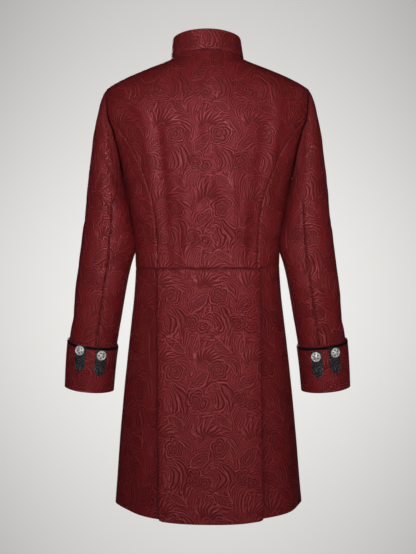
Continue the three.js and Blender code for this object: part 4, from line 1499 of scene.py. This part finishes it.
def makeTab(side, place):
    sizes, row, word = tabSizes, tabs[side][place], side.capitalize()
    mirror, topZ, bend = (flips[side], 1, 1), cuffSizes["endZ"] + row["top"], sizes["width"] * sizes["bend"]
    face, flat = [], []
    for down in spread(sizes["length"], sizes["gridStep"]) * sizes["length"]:
        half, fromFoot = sizes["width"] / 2, sizes["length"] - down
        if fromFoot < bend:
            half *= math.sqrt(max(0.05, 1 - ((bend - fromFoot) / bend) ** 2))
        across = mixed(-half, half, spread(sizes["width"], sizes["gridStep"]))
        lift = sizes["lift"] + sizes["wall"] + sizes["crown"] * (1 - (across / half) ** 2)
        turns, z = math.radians(row["turn"]) + across / sizes["radius"], np.full(len(across), topZ - down)
        face.append(cuffPoint(turns, z, lift) * mirror)
        flat.append(np.stack([across, z], -1))
    face, flat = np.array(face), np.array(flat)
    middle = cuffPoint(fourTurns, np.full(4, topZ - 25)).mean(0) * mirror
    name = f"tab{place.capitalize()}{word}"
    piece = clothShell(name, face, flat, sizes["wall"], charcoalTab, inside=middle)
    declareCloth(piece, f"tab_{place}_{side}", face, flat)
    return face


# A domed shank button: a rolled rim, a ring of pierced holes round a raised boss, and a dark patina
# in every hollow. Drop is from a tab's top to the button's middle.
buttonSizes = {
    "radius": 10.2,
    "drop": 10.4,
    "clear": 0.5,
    "around": 64,
    "rings": 66,
    "faceRows": 9,  # rows of the outline that are on the face, where the holes are
    "holes": 5,
    "holeRing": 0.55,
    "holeRadius": 1.8,
    "holeDepth": 2.0,
}
# The outline from the middle of the face round the rim to the back, and the patina at some distances from
# the middle, by shares of the radius.
buttonOutline = [(0, 0.60), (0.12, 0.60), (0.2, 0.575), (0.27, 0.5), (0.34, 0.47), (0.55, 0.45), (0.72, 0.39)]
buttonOutline += [(0.8, 0.33), (0.84, 0.34), (0.9, 0.37), (0.96, 0.34), (1, 0.26), (0.985, 0.17), (0.9, 0.08)]
buttonOutline += [(0.7, 0.02), (0, 0)]
buttonPatina = [(0, 0), (0.16, 0), (0.27, 0.4), (0.4, 0.05), (0.7, 0.05), (0.81, 0.65), (0.9, 0), (1, 0.3)]


def buttonPoints():
    sizes, radius, profile = buttonSizes, buttonSizes["radius"], np.array(buttonOutline)
    run = lengthsAlong(profile)
    at = np.linspace(0, run[-1], sizes["rings"] + 2)[1:-1]
    across, up = [np.interp(at, run, column) for column in profile.T]
    onFace = (at < run[sizes["faceRows"]])[:, None]
    turns = np.linspace(0, wholeTurn, sizes["around"], endpoint=False)
    x, y = radius * np.outer(across, np.cos(turns)), radius * np.outer(across, np.sin(turns))
    z = radius * up[:, None] + 0 * x
    patina = np.interp(across, *np.transpose(buttonPatina))[:, None] + 0 * x
    ring = sizes["holeRing"] * radius
    for k in range(sizes["holes"]):
        a = wholeTurn * (k + 0.5) / sizes["holes"]
        away = np.hypot(x - ring * math.cos(a), y - ring * math.sin(a)) / sizes["holeRadius"]
        hole = np.exp(-(away**4)) * onFace
        z -= hole * sizes["holeDepth"]
        patina = np.maximum(patina, hole * 1.2)
    return np.stack([x, y, z], -1), np.clip(patina, 0, 1)


def makeButton(name, node, centre, outward):
    shape, patina = buttonPoints()
    rings, around = patina.shape
    axis = outward / np.linalg.norm(outward)
    right = np.cross((0, 0, 1), axis)
    right /= np.linalg.norm(right)
    grid = centre + shape @ np.array([right, np.cross(axis, right), axis])
    top = centre + axis * buttonOutline[0][1] * buttonSizes["radius"]
    ids = np.arange(rings * around).reshape(rings, around)
    beside = np.roll(ids, -1, 1)
    faces = np.stack([ids[:-1], ids[1:], beside[1:], beside[:-1]], -1).reshape(-1, 4).tolist()
    faces += [[rings * around, int(a), int(b)] for a, b in zip(ids[0], beside[0])]
    faces += [[rings * around + 1, int(b), int(a)] for a, b in zip(ids[-1], beside[-1])]
    shade = np.concatenate([patina.ravel(), [0, 0.3]])
    points = np.concatenate([grid.reshape(-1, 3), [top], [centre]])
    piece = meshPiece(name, points, faces, antiqueSilver, values={"patina": shade})
    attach(piece, "root")
    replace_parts(piece, node)


def makeCuffButton(side, place):
    row, mirror = tabs[side][place], (flips[side], 1, 1)
    turn = np.array([math.radians(row["turn"])])
    z = cuffSizes["endZ"] + row["top"] - buttonSizes["drop"] + 0 * turn
    clear = tabSizes["lift"] + tabSizes["wall"] + buttonSizes["clear"]
    centre, ahead = [cuffPoint(turn, z, clear + out)[0] * mirror for out in (0, 10)]
    name = f"button{place.capitalize()}{side.capitalize()}"
    makeButton(name, f"button_{place}_{side}", centre, ahead - centre)


# Where the top and the under sleeve of each side lie on the brocade.
sleeveShifts = {"left": ((40, 75), (75, 40)), "right": ((-13, 52), (52, -13))}


def makeSleeves():
    faces = []
    for side, (top, under) in sleeveShifts.items():
        sleevePanel("Top", side, sleeveSizes["topWidth"], topEdges, top)
        sleevePanel("Under", side, sleeveSizes["underWidth"], underEdges, under)
        makeCuff(side)
        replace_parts(cuffCord(side, "piping", blackPiping), f"cuff_piping_{side}")
        cuffCord(side, "facing", redBrocade)
        for place in ("outer", "inner"):
            faces.append(makeTab(side, place))
            makeCuffButton(side, place)
    return faces


tabFaces = makeSleeves()
print("stage: sleeves and cuffs")


frontButtonRow = {"count": 7, "topZ": -96, "spacing": 54, "lift": 0.4}


def makeFrontButtons():
    turn = np.array([math.pi])
    for i in range(frontButtonRow["count"]):
        z = np.array([frontButtonRow["topZ"] - i * frontButtonRow["spacing"]], float)
        centre = bodyPoint(turn, z, lapLift(turn, z) + frontButtonRow["lift"])[0]
        slope = bodyPoint(turn, z + 1.5)[0] - bodyPoint(turn, z - 1.5)[0]
        outward = np.array([0, -slope[2], slope[1]])
        makeButton(f"buttonFront{i + 1}", f"button_front_{i + 1}", centre, outward)


makeFrontButtons()
print("stage: buttons")


# Stitches laid along a line by Geometry Nodes. Sizes in metres.
tabSewing = {"pitch": 0.0032, "length": 0.0020, "thickness": 0.00022}
hemSewing = {"pitch": 0.0062, "length": 0.0030, "thickness": 0.00032}
# How far the stitches lie out of the cloth, in mm, and the columns under the centre panel's folds.
sewnSizes = {"panelLift": 0.12, "tabLift": 0.1, "foldedColumns": 22, "tabInset": 4}


def stitchTree(material):
    tree = bpy.data.node_groups.new("stitchRun", "GeometryNodeTree")
    face = tree.interface
    face.new_socket("Line", in_out="INPUT", socket_type="NodeSocketGeometry")
    for name in ("Pitch", "Length", "Thickness"):
        face.new_socket(name, in_out="INPUT", socket_type="NodeSocketFloat")
    face.new_socket("Stitches", in_out="OUTPUT", socket_type="NodeSocketGeometry")
    given = tree.nodes.new("NodeGroupInput").outputs
    line = addNode(tree, "GeometryNodeMeshToCurve", {"Mesh": given["Line"]}).outputs[0]
    inputs = {"Curve": line, "Length": given["Pitch"]}
    steps = addNode(tree, "GeometryNodeResampleCurve", inputs, mode="LENGTH").outputs[0]
    ball = addNode(tree, "GeometryNodeMeshUVSphere", {"Segments": 6, "Rings": 5, "Radius": 1}).outputs["Mesh"]
    inputs = {"X": given["Thickness"], "Y": given["Thickness"], "Z": Wire(tree, given["Length"]) * 0.5}
    size = addNode(tree, "ShaderNodeCombineXYZ", inputs).outputs[0]
    stitch = addNode(tree, "GeometryNodeTransform", {"Geometry": ball, "Scale": size}).outputs[0]
    tangent = tree.nodes.new("GeometryNodeInputTangent").outputs[0]
    aim = addNode(tree, "FunctionNodeAlignRotationToVector", {"Vector": tangent}, axis="Z").outputs[0]
    inputs = {"Points": steps, "Instance": stitch, "Rotation": aim}
    row = addNode(tree, "GeometryNodeInstanceOnPoints", inputs).outputs[0]
    solid = addNode(tree, "GeometryNodeRealizeInstances", {0: row}).outputs[0]
    sewn = addNode(tree, "GeometryNodeSetMaterial", {"Geometry": solid, "Material": material}).outputs[0]
    addNode(tree, "NodeGroupOutput", {"Stitches": sewn})
    return tree


def makeStitches(name, lines, material, sizes):
    points, edges = [], []
    for line in lines:
        edges += [(len(points) + k, len(points) + k + 1) for k in range(len(line) - 1)]
        points += (np.asarray(line) * mm).tolist()
    path = bpy.data.meshes.new(name + "Path")
    path.from_pydata(points, edges, [])
    run = bpy.data.objects.new(name + "Path", path)
    bpy.context.collection.objects.link(run)
    tree = stitchTree(material)
    modifier = run.modifiers.new("stitches", "NODES")
    modifier.node_group = tree
    for item in tree.interface.items_tree:
        if item.in_out == "INPUT" and item.name != "Line":
            modifier[item.identifier] = sizes[item.name.lower()]
    graph = bpy.context.evaluated_depsgraph_get()
    mesh = bpy.data.meshes.new_from_object(run.evaluated_get(graph))
    bpy.data.objects.remove(run)
    mesh.name = name
    piece = bpy.data.objects.new(name, mesh)
    bpy.context.collection.objects.link(piece)
    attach(piece, "root")
    print(f"  {name}: {len(mesh.polygons)} faces")


# A line in the panel between two of its rows or columns, a little way out of the cloth.
def sewingLine(first, second, share):
    line, lift = mixed(first, second, share), sewnSizes["panelLift"]
    return line + line * (lift, lift, 0) / np.linalg.norm(line[:, :2], axis=1, keepdims=True)


def makeSeamStitches():
    hems = [sewingLine(face[-6], face[-7], 0.5) for face in skirtFaces]
    folded = sewnSizes["foldedColumns"]
    hems[0] = hems[0][folded:-folded]
    makeStitches("hemStitches", hems, redThread, hemSewing)
    fronts = (frontLeftFace, skirtFaces[3])
    edges = [sewingLine(face[:, -6], face[:, -7], 0.4) for face in fronts]
    makeStitches("frontEdgeStitches", edges, redThread, hemSewing)
    rims, lift = [], sewnSizes["tabLift"]
    inset = slice(sewnSizes["tabInset"], -sewnSizes["tabInset"])
    for face in tabFaces:
        normal = directions(face)[inset, inset]
        raised = face[inset, inset] + normal * (lift if normal[..., 1].mean() > 0 else -lift)
        rims.append(np.concatenate([raised[:, 0], raised[-1, 1:], raised[::-1, -1][1:]]))
    makeStitches("tabStitches", rims, blackThread, tabSewing)


makeSeamStitches()
print("stage: stitches")


floorSizes = {"z": -1.46, "radius": 1.4, "corners": 96}
floorFinish = {"colour": (0.8, 0.8, 0.78), "roughness": 0.9, "glow": (1, 0.99, 0.97), "glowStrength": 0.5}
# The air behind the coat is brightest level with it, and fades upwards, downwards and to the corners.
airSizes = {
    "levelZ": -0.016,
    "steepFade": 11.5,
    "steepLimit": 18,
    "cornerFade": 9,
    "brightest": 0.9,
    "darkest": 0.45,
    "tint": (1.0, 0.99, 0.965),
    "light": (1, 0.99, 0.98),
    "strength": 0.035,
    "mirroredLess": 0.025,
}


def makeFloor():
    sizes, finish = floorSizes, floorFinish
    place = (0, 0, sizes["z"])
    bpy.ops.mesh.primitive_circle_add(
        vertices=sizes["corners"], radius=sizes["radius"], fill_type="NGON", location=place
    )
    floor = bpy.context.object
    floor.name = "studioFloor"
    material, tree, shader = newMaterial("paleFloor")
    seenOnly = Wire(tree, tree.nodes.new("ShaderNodeLightPath").outputs["Is Camera Ray"])
    inputs = {
        "Base Color": finish["colour"],
        "Roughness": finish["roughness"],
        "Emission Color": finish["glow"],
        "Emission Strength": seenOnly * finish["glowStrength"],
    }
    plug(tree, shader, inputs)
    floor.data.materials.append(material)


def makeAir():
    air, world = airSizes, bpy.data.worlds.new("studioAir")
    bpy.context.scene.world = world
    world.use_nodes = True
    tree = world.node_tree
    tree.nodes.clear()
    x, y, z = splitVector(tree, tree.nodes.new("ShaderNodeTexCoord").outputs["Generated"])
    tilt = z - air["levelZ"]
    steep, across = tilt * tilt, x * y
    fade = steep * air["steepFade"] / (steep * air["steepLimit"] + 1) + across * across * air["cornerFade"]
    level = (-fade + air["brightest"]).math("MAXIMUM", air["darkest"])
    grey = addNode(tree, "ShaderNodeCombineXYZ", {0: level, 1: level, 2: level}).outputs[0]
    inputs = {0: 1, 6: air["tint"], 7: grey}
    tint = addNode(tree, "ShaderNodeMix", inputs, data_type="RGBA", blend_type="MULTIPLY").outputs[2]
    seen = addNode(tree, "ShaderNodeBackground", {"Color": tint}).outputs[0]
    path = tree.nodes.new("ShaderNodeLightPath").outputs
    strength = Wire(tree, path["Is Glossy Ray"]) * -air["mirroredLess"] + air["strength"]
    ambient = addNode(tree, "ShaderNodeBackground", {"Color": air["light"], "Strength": strength}).outputs[0]
    mix = addNode(tree, "ShaderNodeMixShader", {"Fac": path["Is Camera Ray"], 1: ambient, 2: seen})
    addNode(tree, "ShaderNodeOutputWorld", {"Surface": mix.outputs[0]})


studioLights = {
    "keyPanel": {"at": (0.1, 3.1, 0.15), "aim": (0, 0, -0.02), "size": 1.0, "spread": 45, "power": 5.25},
    "lowWash": {"at": (-0.3, 3.1, -0.7), "aim": (0, 0, -0.7), "size": 1.0, "spread": 50, "power": 2.35},
    "frontPanel": {"at": (0.5, -3.1, 0.3), "aim": (0, 0, -0.3), "size": 1.2, "spread": 90, "power": 11},
    "leftWash": {"at": (3.0, 0.5, -0.5), "aim": (0, 0, -0.55), "size": 1.2, "spread": 80, "power": 1.6},
    "rightWash": {"at": (-3.0, 0.5, -0.5), "aim": (0, 0, -0.55), "size": 1.2, "spread": 80, "power": 1.6},
}


def makeLights():
    for name, row in studioLights.items():
        lamp = bpy.data.lights.new(name, "AREA")
        lamp.energy = row["power"]
        lamp.size = row["size"]
        lamp.spread = math.radians(row["spread"])
        light = bpy.data.objects.new(name, lamp)
        light.location = row["at"]
        light.visible_camera = False
        light.visible_glossy = "Wash" not in name
        light.rotation_euler = (Vector(row["aim"]) - Vector(row["at"])).to_track_quat("-Z", "Y").to_euler()
        bpy.context.collection.objects.link(light)
    view = bpy.context.scene.view_settings
    view.view_transform = "Standard"
    view.look = "None"


makeFloor()
makeAir()
makeLights()
print("stage: studio")

print("stage: finish")
